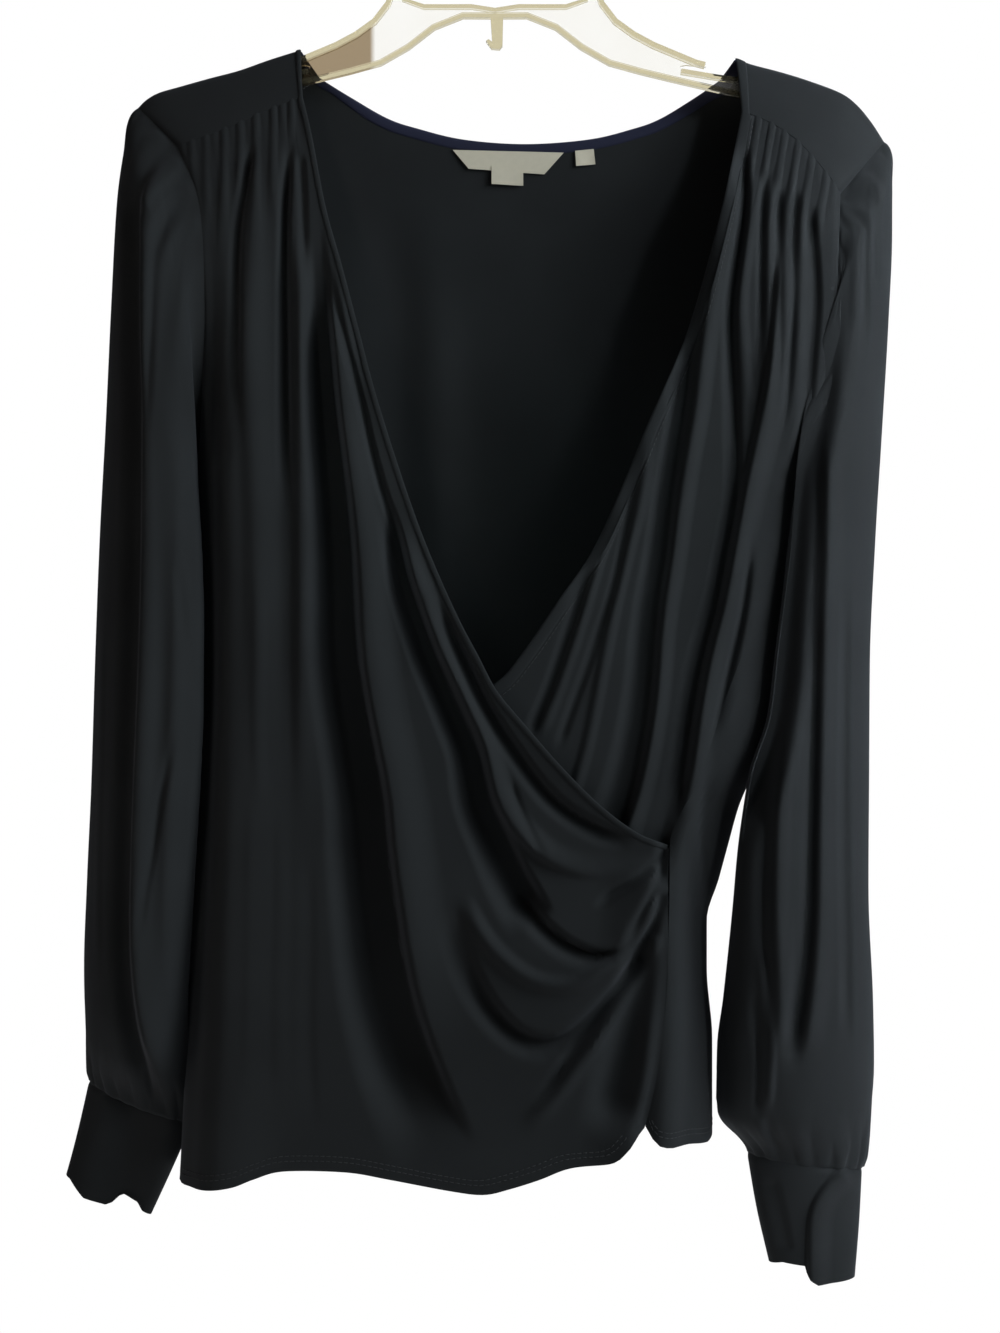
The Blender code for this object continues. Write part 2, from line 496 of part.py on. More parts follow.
def level(normals, where, outward):
    """Turns the normals along an edge square to the direction in which the edge faces."""
    out = np.asarray(outward, float)
    out = out / np.linalg.norm(out, axis=-1, keepdims=True)
    rows = normals[where]
    rows = rows - (rows * out).sum(axis=-1, keepdims=True) * out
    normals[where] = rows / np.linalg.norm(rows, axis=-1, keepdims=True)


def add_mesh(name, points, faces, material):
    cut = np.array([(f[0], f[i], f[i + 1]) for f in faces for i in range(1, len(f) - 1)])
    if np.linalg.det(np.asarray(points)[cut]).sum() < 0:
        faces = [tuple(reversed(f)) for f in faces]
    mesh = bpy.data.meshes.new(name)
    mesh.from_pydata((np.asarray(points) * MM).tolist(), [], faces)
    mesh.validate()
    mesh.update()
    obj = bpy.data.objects.new(name, mesh)
    bpy.context.collection.objects.link(obj)
    if material:
        mesh.materials.append(material)
    return obj


def sheet(name, points, normals, wall, material, closed=False):
    """A sheet of the given wall about its middle surface. Points run down rows and across columns."""
    rows, cols = points.shape[:2]
    front = points + normals * wall / 2
    back = points - normals * wall / 2
    both = np.vstack([front.reshape(-1, 3), back.reshape(-1, 3)])
    count = rows * cols

    def at(r, c):
        return r * cols + c % cols

    faces = []
    across = cols if closed else cols - 1
    for r in range(rows - 1):
        for c in range(across):
            a, b, d, e = at(r, c), at(r, c + 1), at(r + 1, c + 1), at(r + 1, c)
            faces.append((a, e, d, b))
            faces.append((a + count, b + count, d + count, e + count))
    for c in range(across):
        a, b = at(0, c), at(0, c + 1)
        faces.append((a, b, b + count, a + count))
        a, b = at(rows - 1, c), at(rows - 1, c + 1)
        faces.append((b, a, a + count, b + count))
    if not closed:
        for r in range(rows - 1):
            a, b = at(r, 0), at(r + 1, 0)
            faces.append((b, a, a + count, b + count))
            a, b = at(r, cols - 1), at(r + 1, cols - 1)
            faces.append((a, b, b + count, a + count))
    return add_mesh(name, both, triangles(both, faces), material)


def triangles(points, faces):
    """Quads cut along the shorter way across, so that both faces of a wall are cut alike."""
    cut = []
    for a, b, c, d in faces:
        if np.linalg.norm(points[a] - points[c]) <= np.linalg.norm(points[b] - points[d]):
            cut += [(a, b, c), (a, c, d)]
        else:
            cut += [(a, b, d), (b, c, d)]
    return cut


def in_space(x, y, drop):
    return np.stack([x, y, -drop], axis=-1)


# Panels --------------------------------------------------------------------------------------


def inset_path(path, width, side):
    """A path in x, drop moved sideways by a width; side is plus to move to its left."""
    line = spline(path, np.linspace(0, 1, 60))
    run = np.gradient(line, axis=0)
    run = run / np.linalg.norm(run, axis=1, keepdims=True)
    return line + side * np.reshape(width, (-1, 1)) * np.column_stack([-run[:, 1], run[:, 0]])


def drop_on(path, x):
    line = spline(path, np.linspace(0, 1, 80))
    order = np.argsort(line[:, 0])
    return np.interp(x, line[order, 0], line[order, 1])


def seam_outward(drops):
    """Directions across the wearer's left side seam, along the cloth and away from the front."""
    drops = np.asarray(drops, float)
    x = seam_x(drops)
    slope = (right_front_surface(x + 1, drops) - right_front_surface(x - 1, drops)) / 2
    out = np.column_stack([np.ones(len(drops)), slope, np.zeros(len(drops))])
    out = out / np.linalg.norm(out, axis=1, keepdims=True)
    out[drops <= 384] = (1, 0, 0)
    return out


def down_shares(rows):
    return np.linspace(0, 1, rows) ** 1.15


def front_grid(lines, first, last, top, foot, columns):
    """x, drop of a front's points: side rows as given, lines of cloth from yoke seam to lower edge."""
    rows = len(first)
    down = down_shares(rows)
    strands = []
    for share, start, end, mid in lines:
        if share in (0, 1):
            strands.append(last if share else first)
            continue
        ends = spline(top, [start])[0], spline(foot, [end])[0]
        strands.append(spline([ends[0], *mid, ends[1]], down))
    strands = np.array(strands)
    across = [line[0] for line in lines]
    grid = np.empty((rows, len(columns), 2))
    for r in range(rows):
        for k in range(2):
            grid[r, :, k] = np.interp(columns, across, strands[:, r, k])
    starts = np.interp(columns, across, [line[1] for line in lines])
    ends = np.interp(columns, across, [line[2] for line in lines])
    top_fix = spline(top, starts) - grid[0]
    foot_fix = spline(foot, ends) - grid[-1]
    for r, share in enumerate(down):
        grid[r] += top_fix * (1 - share) ** 8 + foot_fix * share**8
    return grid


def edge_outward(line, side):
    """Directions in space in which a front's edge faces, from its path in x, drop."""
    run = np.gradient(line, axis=0)
    run = run / np.linalg.norm(run, axis=1, keepdims=True)
    return np.column_stack([side * run[:, 1], np.zeros(len(line)), side * run[:, 0]])


def armhole_rows(path, steps):
    """x, drop of the rows of a panel along its armhole, in the order of the path."""
    line = spline(path, np.linspace(0, 1, steps + 1))
    return line[:, [0, 2]]


def gathers_at(columns, grid, gathers):
    """Depth of the gathers under the yoke seam, fading down the cloth."""
    steps = np.linalg.norm(np.diff(grid, axis=0), axis=2)
    length = np.vstack([np.zeros(len(columns)), np.cumsum(steps, axis=0)])
    total = np.zeros(grid.shape[:2])
    for centre, high, half, reach in gathers:
        shape = np.cos(np.pi * np.clip(np.abs(columns - centre) / (2 * half), 0, 1))
        total += high * np.maximum(shape, -0.6) * (np.abs(columns - centre) < 2 * half) * ease(1 - length / reach)
    ends = ease(columns / 0.05) * ease((1 - columns) / 0.05)
    return total * (0.55 + 0.45 * ease(length / 6)) * ends


def front_over(material):
    rows = FRONT_ROWS
    edge = spline(inset_path(OVER_EDGE, OVER_BAND + SEAM_GAP / 2, 1), down_shares(rows))
    seam = spline(SIDE_SEAM, np.linspace(0, 1, 40)) - (SEAM_GAP / 2, 0)
    edge[0, 1] = drop_on(LEFT_YOKE["front"], edge[0, 0])
    edge[-1, 0] = seam[np.argmin(np.abs(seam[:, 1] - edge[-1, 1])), 0]
    low_seam = seam[seam[:, 1] > edge[-1, 1] + 3][::-1]
    hem = spline(OVER_HEM, np.linspace(0, 1, 40))
    foot = np.vstack([hem[:-1], low_seam, edge[-1:]])
    arm = armhole_rows(LEFT_ARMHOLE_FRONT, ARMHOLE_STEPS_FRONT)
    drops = np.linspace(379, foot[0, 1], 13)[1:-1]
    below = np.column_stack([column(LEFT_FRONT_EDGE, drops, 1), drops])
    left = np.vstack([arm, below, foot[:1]])
    top = spline(LEFT_YOKE["front"][::-1], np.linspace(0, 1, 30))
    top = np.vstack([top[top[:, 0] < edge[0, 0] - 1], edge[:1]])
    columns = np.linspace(0, 1, OVER_COLUMNS)
    grid = front_grid(OVER_LINES, left, edge, top, foot, columns)
    x, drop = grid[..., 0], grid[..., 1]
    y = over_surface(x, drop) - gathers_at(columns, grid, OVER_GATHERS)
    points = in_space(x, y, drop)
    points[0, :, 2] -= SEAM_GAP / 2
    upper = np.arange(rows) <= ARMHOLE_STEPS_FRONT
    points[upper, 0, 0] += ARMHOLE_GAP / 2
    points[~upper, 0, 0] += 1.0
    points[~upper, 0, 1] -= 1.1
    normals = grid_normals(points)
    level(normals, (0, slice(None)), (0.25, 0, 1))
    level(normals, (upper, 0), (-1, 0, 0))
    level(normals, (~upper, 0), (-0.4, 0.9, 0))
    level(normals, (slice(None), -1), edge_outward(grid[:, -1], 1))
    level(normals, (-1, grid[-1, :, 1] < 728), (1, 0, 0.1))
    return sheet("front_over", points, normals, CLOTH, material)


def front_under(material):
    arm = armhole_rows(RIGHT_ARMHOLE_FRONT, ARMHOLE_STEPS_FRONT)
    drops = np.array([*SIDE_ROWS[1:], 610, 660, 727])
    side_out = seam_outward(drops)
    last = np.vstack([arm, np.column_stack([seam_x(drops) - SEAM_GAP / 2 * side_out[:, 0], drops])])
    rows = FRONT_ROWS
    edge = spline(inset_path(UNDER_EDGE, UNDER_BAND + SEAM_GAP / 2, -1), down_shares(rows))
    edge[0, 1] = drop_on(RIGHT_YOKE["front"], edge[0, 0])
    left = [(column(LEFT_FRONT_EDGE, d, 1) + 4.0, d) for d in (620, 680, 730)]
    foot = np.vstack([edge[-1:], left, UNDER_HEM[:-1], last[-1:]])
    top = spline(RIGHT_YOKE["front"], np.linspace(0, 1, 30))
    top = np.vstack([edge[:1], top[top[:, 0] > edge[0, 0] + 1]])
    columns = np.linspace(0, 1, UNDER_COLUMNS)
    grid = front_grid(UNDER_LINES, edge, last, top, foot, columns)
    x, drop = grid[..., 0], grid[..., 1]
    inside = seam_x(drop) - SEAM_GAP / 2 - 40 * (1 - columns)
    x = np.where((drop > 384) & (columns < 1), np.minimum(x, inside), x)
    y = under_surface(x, drop) - gathers_at(columns, grid, UNDER_GATHERS)
    points = in_space(x, y, drop)
    points[0, :, 2] -= SEAM_GAP / 2
    upper = np.arange(rows) <= ARMHOLE_STEPS_FRONT
    points[upper, -1, 0] -= ARMHOLE_GAP / 2
    normals = grid_normals(points)
    level(normals, (0, slice(None)), (-0.4, 0, 1))
    level(normals, (upper, -1), (1, 0, 0))
    level(normals, (~upper, -1), side_out)
    level(normals, (slice(None), 0), edge_outward(grid[:, 0], -1))
    return sheet("front_under", points, normals, CLOTH, material)


def binding_width(count):
    """The binding widens from the over front's narrow band and runs into the under front's wide one."""
    run = np.linspace(0, 1, count)
    width = OVER_BAND + (NECK_BAND - OVER_BAND) * ease(run / 0.15)
    return width + (UNDER_BAND - NECK_BAND) * ease((run - 0.85) / 0.15)


def back_neck(offset):
    """A line along the lower edge of the neck binding, moved down by an offset."""
    return inset_path(BACK_NECK, binding_width(60) + offset, 1)


def back_stations():
    """Where the back's columns start, left to right: the two corners of the neck are among them."""
    left, right = back_neck(SEAM_GAP / 2)[[0, -1], 0]
    return np.concatenate([
        np.linspace(-180, left, 6)[:-1],
        np.linspace(left, right, 13)[:-1],
        np.linspace(right, 203 - RIGHT_ROUND, 4),
    ])


def back_top(x):
    """Drop of the back's upper edge: the yokes' back seams and, between them, the neck binding."""
    neck = back_neck(SEAM_GAP / 2)
    left = spline(LEFT_YOKE["back"][::-1], np.linspace(0, 1, 20)) + (0, SEAM_GAP / 2)
    right = spline(RIGHT_YOKE["back"], np.linspace(0, 1, 20)) + (0, SEAM_GAP / 2)
    line = np.vstack([left[left[:, 0] < neck[0, 0] - 0.5], neck, right[right[:, 0] > neck[-1, 0] + 0.5]])
    return np.interp(x, line[:, 0], line[:, 1])


def back(material):
    arm_left = armhole_rows(LEFT_ARMHOLE_BACK, ARMHOLE_STEPS_BACK)[::-1]
    arm_right = armhole_rows(RIGHT_ARMHOLE_BACK, ARMHOLE_STEPS_BACK)[::-1]
    right_drops = np.concatenate([arm_right[:, 1], SIDE_ROWS[1:], (610, 643, 670, 700, 735)])
    rows = len(right_drops)
    left_drops = np.concatenate([arm_left[:, 1], np.linspace(379, 765, rows - len(arm_left) + 1)[1:]])
    start_x = back_stations()
    flat = (start_x - start_x[0]) / (start_x[-1] - start_x[0])
    turn = np.linspace(0, 1, 8)[1:]
    near_turn = slice(len(flat), None)
    start_x = np.append(start_x, 203 - RIGHT_ROUND * (1 - np.cos(0.5 * np.pi * (1 - turn))))
    start = back_top(start_x)
    start[0], start[-1] = left_drops[0], right_drops[0]
    hem = np.interp(start_x, [p[0] for p in BACK_HEM], [p[1] for p in BACK_HEM])
    hem[-1] = 735
    across = np.linspace(0, 1, len(start_x))
    points = np.empty((rows, len(start_x), 3))
    for r in range(rows):
        left_share = (left_drops[r] - left_drops[0]) / (left_drops[-1] - left_drops[0])
        right_share = (right_drops[r] - right_drops[0]) / (right_drops[-1] - right_drops[0])
        share = left_share + (right_share - left_share) * across**3
        drop = start + (hem - start) * share
        left_x = column(LEFT_BACK_EDGE, drop, 1)
        right_x = column(RIGHT_BACK_EDGE, drop, 1)
        if r < len(arm_left):
            left_x[0], right_x[-1] = arm_left[r, 0], arm_right[r, 0]
        x = left_x + (right_x - RIGHT_ROUND - left_x) * np.append(flat, np.ones(len(turn)))
        y = back_surface(x, drop)
        fell = drop[near_turn]
        gap = SEAM_GAP / 2 * seam_outward(fell)[:, 0]
        strip = np.where(fell > 384, right_x[near_turn] - seam_x(fell) - gap, 0)
        reach = np.arccos(np.clip(1 - strip / RIGHT_ROUND, -1, 1))
        angle = -0.5 * np.pi + (reach + 0.5 * np.pi) * turn
        bent = right_x[near_turn] - RIGHT_ROUND * (1 - np.cos(angle))
        x[near_turn] = bent
        y[near_turn] = np.where(angle <= 0, back_surface(bent, fell), right_front_surface(bent, fell))
        if r == rows - 1:
            low = angle > 0
            strip_x, strip_drop = np.array(STRIP_HEM)[::-1].T
            drop[near_turn] = np.where(low, np.interp(bent, strip_x, strip_drop), fell)
        points[r] = in_space(x, y, drop)
    upper = np.arange(rows) <= ARMHOLE_STEPS_BACK
    points[upper, 0, 0] += ARMHOLE_GAP / 2
    points[~upper, 0, 0] += 1.0
    points[~upper, 0, 1] += 1.1
    points[upper, -1, 0] -= ARMHOLE_GAP / 2
    normals = grid_normals(points)
    level(normals, (0, slice(None)), (0, 0, 1))
    level(normals, (upper, 0), (-1, 0, 0))
    level(normals, (~upper, 0), (-0.4, -0.9, 0))
    level(normals, (slice(None), -1), seam_outward(right_drops))
    return sheet("back", points, normals, CLOTH, material)


# Yokes ---------------------------------------------------------------------------------------


def yoke_point(yoke, along, round_it):
    """Point of a yoke: along 0 neck to 1 armhole, round -1 front seam over 0 ridge to 1 back seam."""
    along, round_it = np.broadcast_arrays(np.asarray(along, float), np.asarray(round_it, float))
    shape = along.shape
    s, t = along.ravel(), round_it.ravel()
    ridge = spline(yoke["ridge"], s)
    front = spline(yoke["front"], s)
    rear = spline(yoke["back"], s)
    seam = np.where(t[:, None] < 0, front, rear)
    depth = np.where(t < 0, front_base(front[:, 0], front[:, 1]), back_base(rear[:, 0], rear[:, 1]))
    fall = np.abs(t) ** 2
    flat = ridge + (seam - ridge) * fall[:, None]
    y = depth * np.abs(t) ** 1.2
    return in_space(flat[:, 0], y, flat[:, 1]).reshape(*shape, 3)


def yoke(name, shape, neck_share, material):
    along = np.linspace(neck_share, 1, 9)
    round_it = np.linspace(-1, 1, 2 * YOKE_STEPS + 1)
    points = yoke_point(shape, along[None, :], round_it[:, None])
    out = 1 if points[0, -1, 0] > 0 else -1
    away = np.array([out * 0.95, 0, -0.2])
    points[:, -1] -= away * ARMHOLE_GAP / 2
    points[0, :, 2] += SEAM_GAP / 2
    points[-1, :, 2] += SEAM_GAP / 2
    normals = grid_normals(points)
    level(normals, (0, slice(None)), (-0.3 * out, 0, 1))
    level(normals, (-1, slice(None)), (-0.3 * out, 0, 1))
    level(normals, (slice(None), -1), away)
    return sheet(name, points, normals, CLOTH, material)


# Sleeves -------------------------------------------------------------------------------------


def armhole(side, turn):
    """Point of an armhole seam; turn 0 is the shoulder, a quarter the front, a half the underarm."""
    shape, front, rear = (
        (LEFT_YOKE, LEFT_ARMHOLE_FRONT, LEFT_ARMHOLE_BACK)
        if side < 0 else (RIGHT_YOKE, RIGHT_ARMHOLE_FRONT, RIGHT_ARMHOLE_BACK)
    )
    corner = YOKE_CORNER
    turn = np.asarray(turn, float) % 1
    points = np.empty((*turn.shape, 3))
    for i, t in np.ndenumerate(turn):
        if t <= corner:
            points[i] = yoke_point(shape, 1.0, -t / corner)
        elif t < 0.5:
            p = spline(front, [(t - corner) / (0.5 - corner)])[0]
            points[i] = (p[0], p[1], -p[2])
        elif t < 1 - corner:
            p = spline(rear, [(t - 0.5) / (0.5 - corner)])[0]
            points[i] = (p[0], p[1], -p[2])
        else:
            points[i] = yoke_point(shape, 1.0, (1 - t) / corner)
    return points


def sleeve_points(side, shares, turns):
    rows, outer, inner, edge, back_edge, folds = (
        (LEFT_SLEEVE, LEFT_SLEEVE_OUTER, LEFT_SLEEVE_INNER, LEFT_FRONT_EDGE, LEFT_BACK_EDGE, LEFT_SLEEVE_FOLDS)
        if side < 0 else
        (RIGHT_SLEEVE, RIGHT_SLEEVE_OUTER, RIGHT_SLEEVE_INNER, RIGHT_FRONT_EDGE, RIGHT_BACK_EDGE,
         RIGHT_SLEEVE_FOLDS)
    )
    v, turn = np.meshgrid(shares, turns, indexing="ij")
    c, s = np.cos(2 * np.pi * turn), np.sin(2 * np.pi * turn)
    drop_out, drop_in = column(rows, v, 1), column(rows, v, 2)
    x_out, x_in = column(outer, drop_out, 1), column(inner, drop_in, 1)
    y_out, y_in = column(rows, v, 3), column(rows, v, 4)
    drop = (drop_out + drop_in) / 2 + (drop_out - drop_in) / 2 * c
    x = (x_out + x_in) / 2 + (x_out - x_in) / 2 * c + column(rows, v, 7) * s**2
    deep = np.where(s > 0, column(rows, v, 5), column(rows, v, 6))
    y = (y_out + y_in) / 2 + (y_out - y_in) / 2 * c - deep * s
    points = in_space(x, y, drop)
    seam = armhole(side, turns) + np.array([side * 0.95, 0, -0.2]) * ARMHOLE_GAP / 2
    start = ease(1 - v / 0.10)[..., None]
    points = points * (1 - start) + seam[None] * start
    x, y, drop = points[..., 0], points[..., 1], -points[..., 2]
    front = ease(s * 1.6) * ease(v / 0.05) * ease((1 - v) / 0.03)
    rear = ease(-s * 1.6) * ease(v / 0.05) * ease((1 - v) / 0.03)
    y = y - folds_at(x, drop, folds) * front
    mirrored = x_out + x_in - x
    y = y + 0.8 * folds_at(mirrored, drop + 14, folds) * rear
    clear = 2.6 * ease(v / 0.06)
    ahead = -column(edge, drop, 2) - (9 if side < 0 else 24) - y
    limit = column(edge, drop, 1) + side * clear - side * 20 * ease(ahead / 20)
    limit = np.where(y > 0, column(back_edge, drop, 1) + side * clear, limit)
    x = np.where(v > 0.001, side * np.maximum(side * x, side * limit), x)
    return in_space(x, y, drop)


def sleeve(name, side, material):
    yoke_part = YOKE_CORNER * np.arange(YOKE_STEPS) / YOKE_STEPS
    front_part = np.linspace(YOKE_CORNER, 0.5, ARMHOLE_STEPS_FRONT + 1)[:-1]
    back_part = np.linspace(0.5, 1 - YOKE_CORNER, ARMHOLE_STEPS_BACK + 1)[:-1]
    turns = np.concatenate([yoke_part, front_part, back_part, (1 - yoke_part[::-1] - YOKE_CORNER / YOKE_STEPS)])
    shares = np.concatenate([[0, 0.02, 0.05, 0.09], np.linspace(0.14, 0.93, SLEEVE_ROWS - 6), [0.965, 1.0]])
    points = sleeve_points(side, shares, turns)
    points[-1] += np.array([-side * 0.2, 0, 1]) * SEAM_GAP / 2
    normals = grid_normals(points, closed=True)
    level(normals, (0, slice(None)), (-side * 0.95, 0, 0.2))
    level(normals, (-1, slice(None)), (0, 0, 1))
    return sheet(name, points, normals, CLOTH, material, closed=True)


def cuff_points(rows, shares, turns):
    v, turn = np.meshgrid(shares, turns, indexing="ij")
    c, s = np.cos(2 * np.pi * turn), np.sin(2 * np.pi * turn)
    x_out, d_out, x_in, d_in = (column(rows, v, k) for k in (1, 2, 3, 4))
    x = (x_out + x_in) / 2 + (x_out - x_in) / 2 * c
    drop = (d_out + d_in) / 2 + (d_out - d_in) / 2 * c
    deep = np.where(s > 0, column(rows, v, 5), column(rows, v, 6))
    return in_space(x, -deep * s, drop)


def cuff(name, rows, side, material):
    turns = np.arange(CUFF_AROUND) / CUFF_AROUND
    points = cuff_points(rows, np.linspace(0, 1, CUFF_ROWS), turns)
    points[0] -= np.array([-side * 0.2, 0, 1]) * SEAM_GAP / 2
    normals = grid_normals(points, closed=True)
    level(normals, (0, slice(None)), (0, 0, 1))
    return sheet(name, points, normals, CLOTH, material, closed=True)


# Bands, binding and labels -------------------------------------------------------------------


def band(name, shape, edge, width, side, surface, rows, material):
    """An edge band: over the yoke's neck end from its ridge, then down the edge of a front."""
    up = np.linspace(0, -1, YOKE_STEPS + 1)
    inner_share = (width - SEAM_GAP / 2) / 97
    yoke_rows = np.stack([yoke_point(shape, 0.0, up), yoke_point(shape, inner_share, up)], axis=1)
    run = down_shares(rows)
    run[-1] = 1 - 1.5 / 560
    outer = spline(inset_path(edge, 0.01, side), run)
    inner = spline(inset_path(edge, width - SEAM_GAP / 2, side), run)
    flat = np.stack([outer, inner], axis=1)[1:]
    lower = in_space(flat[..., 0], surface(flat[..., 0], flat[..., 1]), flat[..., 1])
    points = np.vstack([yoke_rows, lower])
    normals = grid_normals(points)
    count = len(lower)
    outward = edge_outward(inner, side)[1:]
    for k in (0, 1):
        level(normals, (slice(len(points) - count, None), k), outward)
    return sheet(name, points, normals, BAND_WALL, material)


def neck_binding(material):
    left = np.linspace(0.2, 1, YOKE_STEPS)
    right = left[::-1]
    share_l = (OVER_BAND - SEAM_GAP / 2) / 97
    share_r = (UNDER_BAND - SEAM_GAP / 2) / 97
    rows_l = np.stack([yoke_point(LEFT_YOKE, 0.0, left), yoke_point(LEFT_YOKE, share_l, left)], axis=1)
    rows_r = np.stack([yoke_point(RIGHT_YOKE, 0.0, right), yoke_point(RIGHT_YOKE, share_r, right)], axis=1)
    seam = back_neck(SEAM_GAP / 2)
    stations = back_stations()
    stations = stations[(stations > seam[0, 0] + 1) & (stations < seam[-1, 0] - 1)]
    run = np.interp(stations, seam[:, 0], np.linspace(0, 59, 60))
    flat = np.empty((len(run), 2, 2))
    for row, line in enumerate((inset_path(BACK_NECK, 0.01, 1), back_neck(-SEAM_GAP / 2))):
        for k in range(2):
            flat[:, row, k] = np.interp(run, np.arange(60), line[:, k])
    middle = in_space(flat[..., 0], back_surface(flat[..., 0], flat[..., 1]), flat[..., 1])
    points = np.vstack([rows_l, middle, rows_r]).transpose(1, 0, 2)
    normals = grid_normals(points)
    level(normals, (1, slice(len(left), -len(right))), (0, 0, 1))
    return sheet("neck_binding_back", points, normals, BAND_WALL, material)


def label(name, corners, layer, material):
    """A satin label on the inner face of the back, its points moved off the cloth."""
    a, b, c, d = (np.array(p, float) for p in corners)
    s, t = np.meshgrid(np.linspace(0, 1, 6), np.linspace(0, 1, 3))
    s, t = s[..., None], t[..., None]
    flat = (a * (1 - s) + b * s) * (1 - t) + (d * (1 - s) + c * s) * t
    y = back_surface(flat[..., 0], flat[..., 1]) - CLOTH / 2 - 0.35 - LABEL_WALL / 2 - layer
    points = in_space(flat[..., 0], y, flat[..., 1])
    return sheet(name, points, grid_normals(points), LABEL_WALL, material)


# Hanger --------------------------------------------------------------------------------------


def half_outline(arm_top, side):
    """Outer outline of one half of the hanger, from the top middle out along the arm and back."""
    tongue = [(118, 146.4), (118, 148.0), (107, 146.8), (103.5, 147.4)]
    rise = spline(HANGER_TOP, np.linspace(0, 1, 12))
    foot = spline(HANGER_FOOT, np.linspace(0, 1, 13))
    arm = np.array(arm_top) + (0, 0.5)
    line = [*rise.tolist(), *tongue, *arm.tolist(), *foot.tolist()]
    return [(side * x, d) for x, d in line[1:-1]]


def plate(name, outline, thick, hole=None):
    """A flat plate of the given outline, with a hole if one is given."""
    loops = [outline] + ([hole] if hole else [])
    flat = [Vector((x, 0, -d)) for loop in loops for x, d in loop]
    caps = tessellate_polygon([[Vector((x, -d, 0)) for x, d in loop] for loop in loops])
    count = len(flat)
    points = [(p.x, -thick / 2, p.z) for p in flat] + [(p.x, thick / 2, p.z) for p in flat]
    faces = [tuple(f) for f in caps] + [tuple(i + count for i in reversed(f)) for f in caps]
    first = 0
    for loop in loops:
        for i in range(len(loop)):
            a, b = first + i, first + (i + 1) % len(loop)
            faces.append((a, b, b + count, a + count))
        first += len(loop)
    obj = add_mesh(name, np.array(points), faces, None)
    clean(obj)
    return obj


def rib(name, path, width, thick, closed=False):
    """A rib of square section along a path in x, drop."""
    line = np.array(path, float)
    if closed:
        run = np.roll(line, -1, axis=0) - np.roll(line, 1, axis=0)
    else:
        run = np.gradient(line, axis=0)
    run = run / np.linalg.norm(run, axis=1, keepdims=True)
    across = width / 2 * np.column_stack([-run[:, 1], run[:, 0]])
    corners = []
    for a, y in ((1, -1), (1, 1), (-1, 1), (-1, -1)):
        flat = line + a * across
        corners.append(in_space(flat[:, 0], np.full(len(line), y * thick / 2), flat[:, 1]))
    points = np.stack(corners, axis=1).reshape(-1, 3)
    count = len(line)
    faces = []
    for i in range(count if closed else count - 1):
        for k in range(4):
            a, b = 4 * i + k, 4 * i + (k + 1) % 4
            c, d = 4 * ((i + 1) % count) + (k + 1) % 4, 4 * ((i + 1) % count) + k
            faces.append((a, b, c, d))
    if not closed:
        faces.append((3, 2, 1, 0))
        faces.append(tuple(4 * (count - 1) + k for k in range(4)))
    return add_mesh(name, points, faces, None)


def clean(obj):
    """Welds a mesh and turns its faces outward."""
    work = bmesh.new()
    work.from_mesh(obj.data)
    bmesh.ops.remove_doubles(work, verts=work.verts, dist=0.000002)
    bmesh.ops.recalc_face_normals(work, faces=work.faces)
    work.to_mesh(obj.data)
    work.free()


def join(target, other):
    clean(other)
    cut = target.modifiers.new("join", "BOOLEAN")
    cut.operation = "UNION"
    cut.solver = "EXACT"
    cut.use_self = True
    cut.object = other
    bpy.context.view_layer.update()
    mesh = bpy.data.meshes.new_from_object(
        target.evaluated_get(bpy.context.evaluated_depsgraph_get())
    )
    target.modifiers.clear()
    target.data = mesh
    bpy.data.objects.remove(other)


def hanger_frame(material):
    right = half_outline(ARM_TOP_RIGHT, 1)
    left = half_outline(ARM_TOP_LEFT, -1)
    outline = [(0, 76), *right, (0, 120), *left[::-1]]
    half = spline(WINDOW, np.linspace(0, 1, 10))
    window = [(0, 82), *half[1:-1].tolist(), (0, 115), *(half[1:-1] * (-1, 1))[::-1].tolist()]
    frame = plate("hanger_frame", outline, WEB_THICK, window)
    rise = spline(HANGER_TOP, np.linspace(0, 1, 12))
    rise = np.vstack([rise, [(117.4, 146.0)]]) + (0, 0.9)
    join(frame, rib("top_rib", np.vstack([(rise * (-1, 1))[:0:-1], rise]), 2.8, ARM_THICK))
    for side, arm_top in ((1, ARM_TOP_RIGHT), (-1, ARM_TOP_LEFT)):
        line = np.vstack([np.array(arm_top) + (0, 1.35), [(189, 172)]]) * (side, 1)
        join(frame, rib("arm_rib", line, 2.5, ARM_THICK - 0.4))
    foot = spline(HANGER_FOOT[1:], np.linspace(0, 1, 12)) - (0, 0.9)
    foot = np.vstack([foot, (foot * (-1, 1))[-2::-1]])
    join(frame, rib("foot_rib", foot, 2.8, ARM_THICK - 0.8))
    inner = spline(WINDOW, np.linspace(0, 1, 10)) * (1.022, 1)
    ring = np.vstack([inner[:-1] + (0, -0.9), [(0, 116.2)], (inner[1:-1] * (-1, 1))[::-1] + (0, -0.9)])
    join(frame, rib("window_rib", ring, 2.2, ARM_THICK - 1.2, closed=True))
    peg = [(-2.6, 118), (4.6, 118), (4.2, 136), (2.6, 138), (-2.0, 137.6), (-5.0, 133.5), (-3.6, 132.6),
           (-1.6, 134)]
    join(frame, plate("peg", peg, 4.0))
    boss = [(-7, 60), (7, 60), (9, 74), (12, 79), (-12, 79), (-9, 74)]
    join(frame, plate("boss", boss, 11.0))
    clean(frame)
    frame.data.materials.clear()
    frame.data.materials.append(material)
    return frame


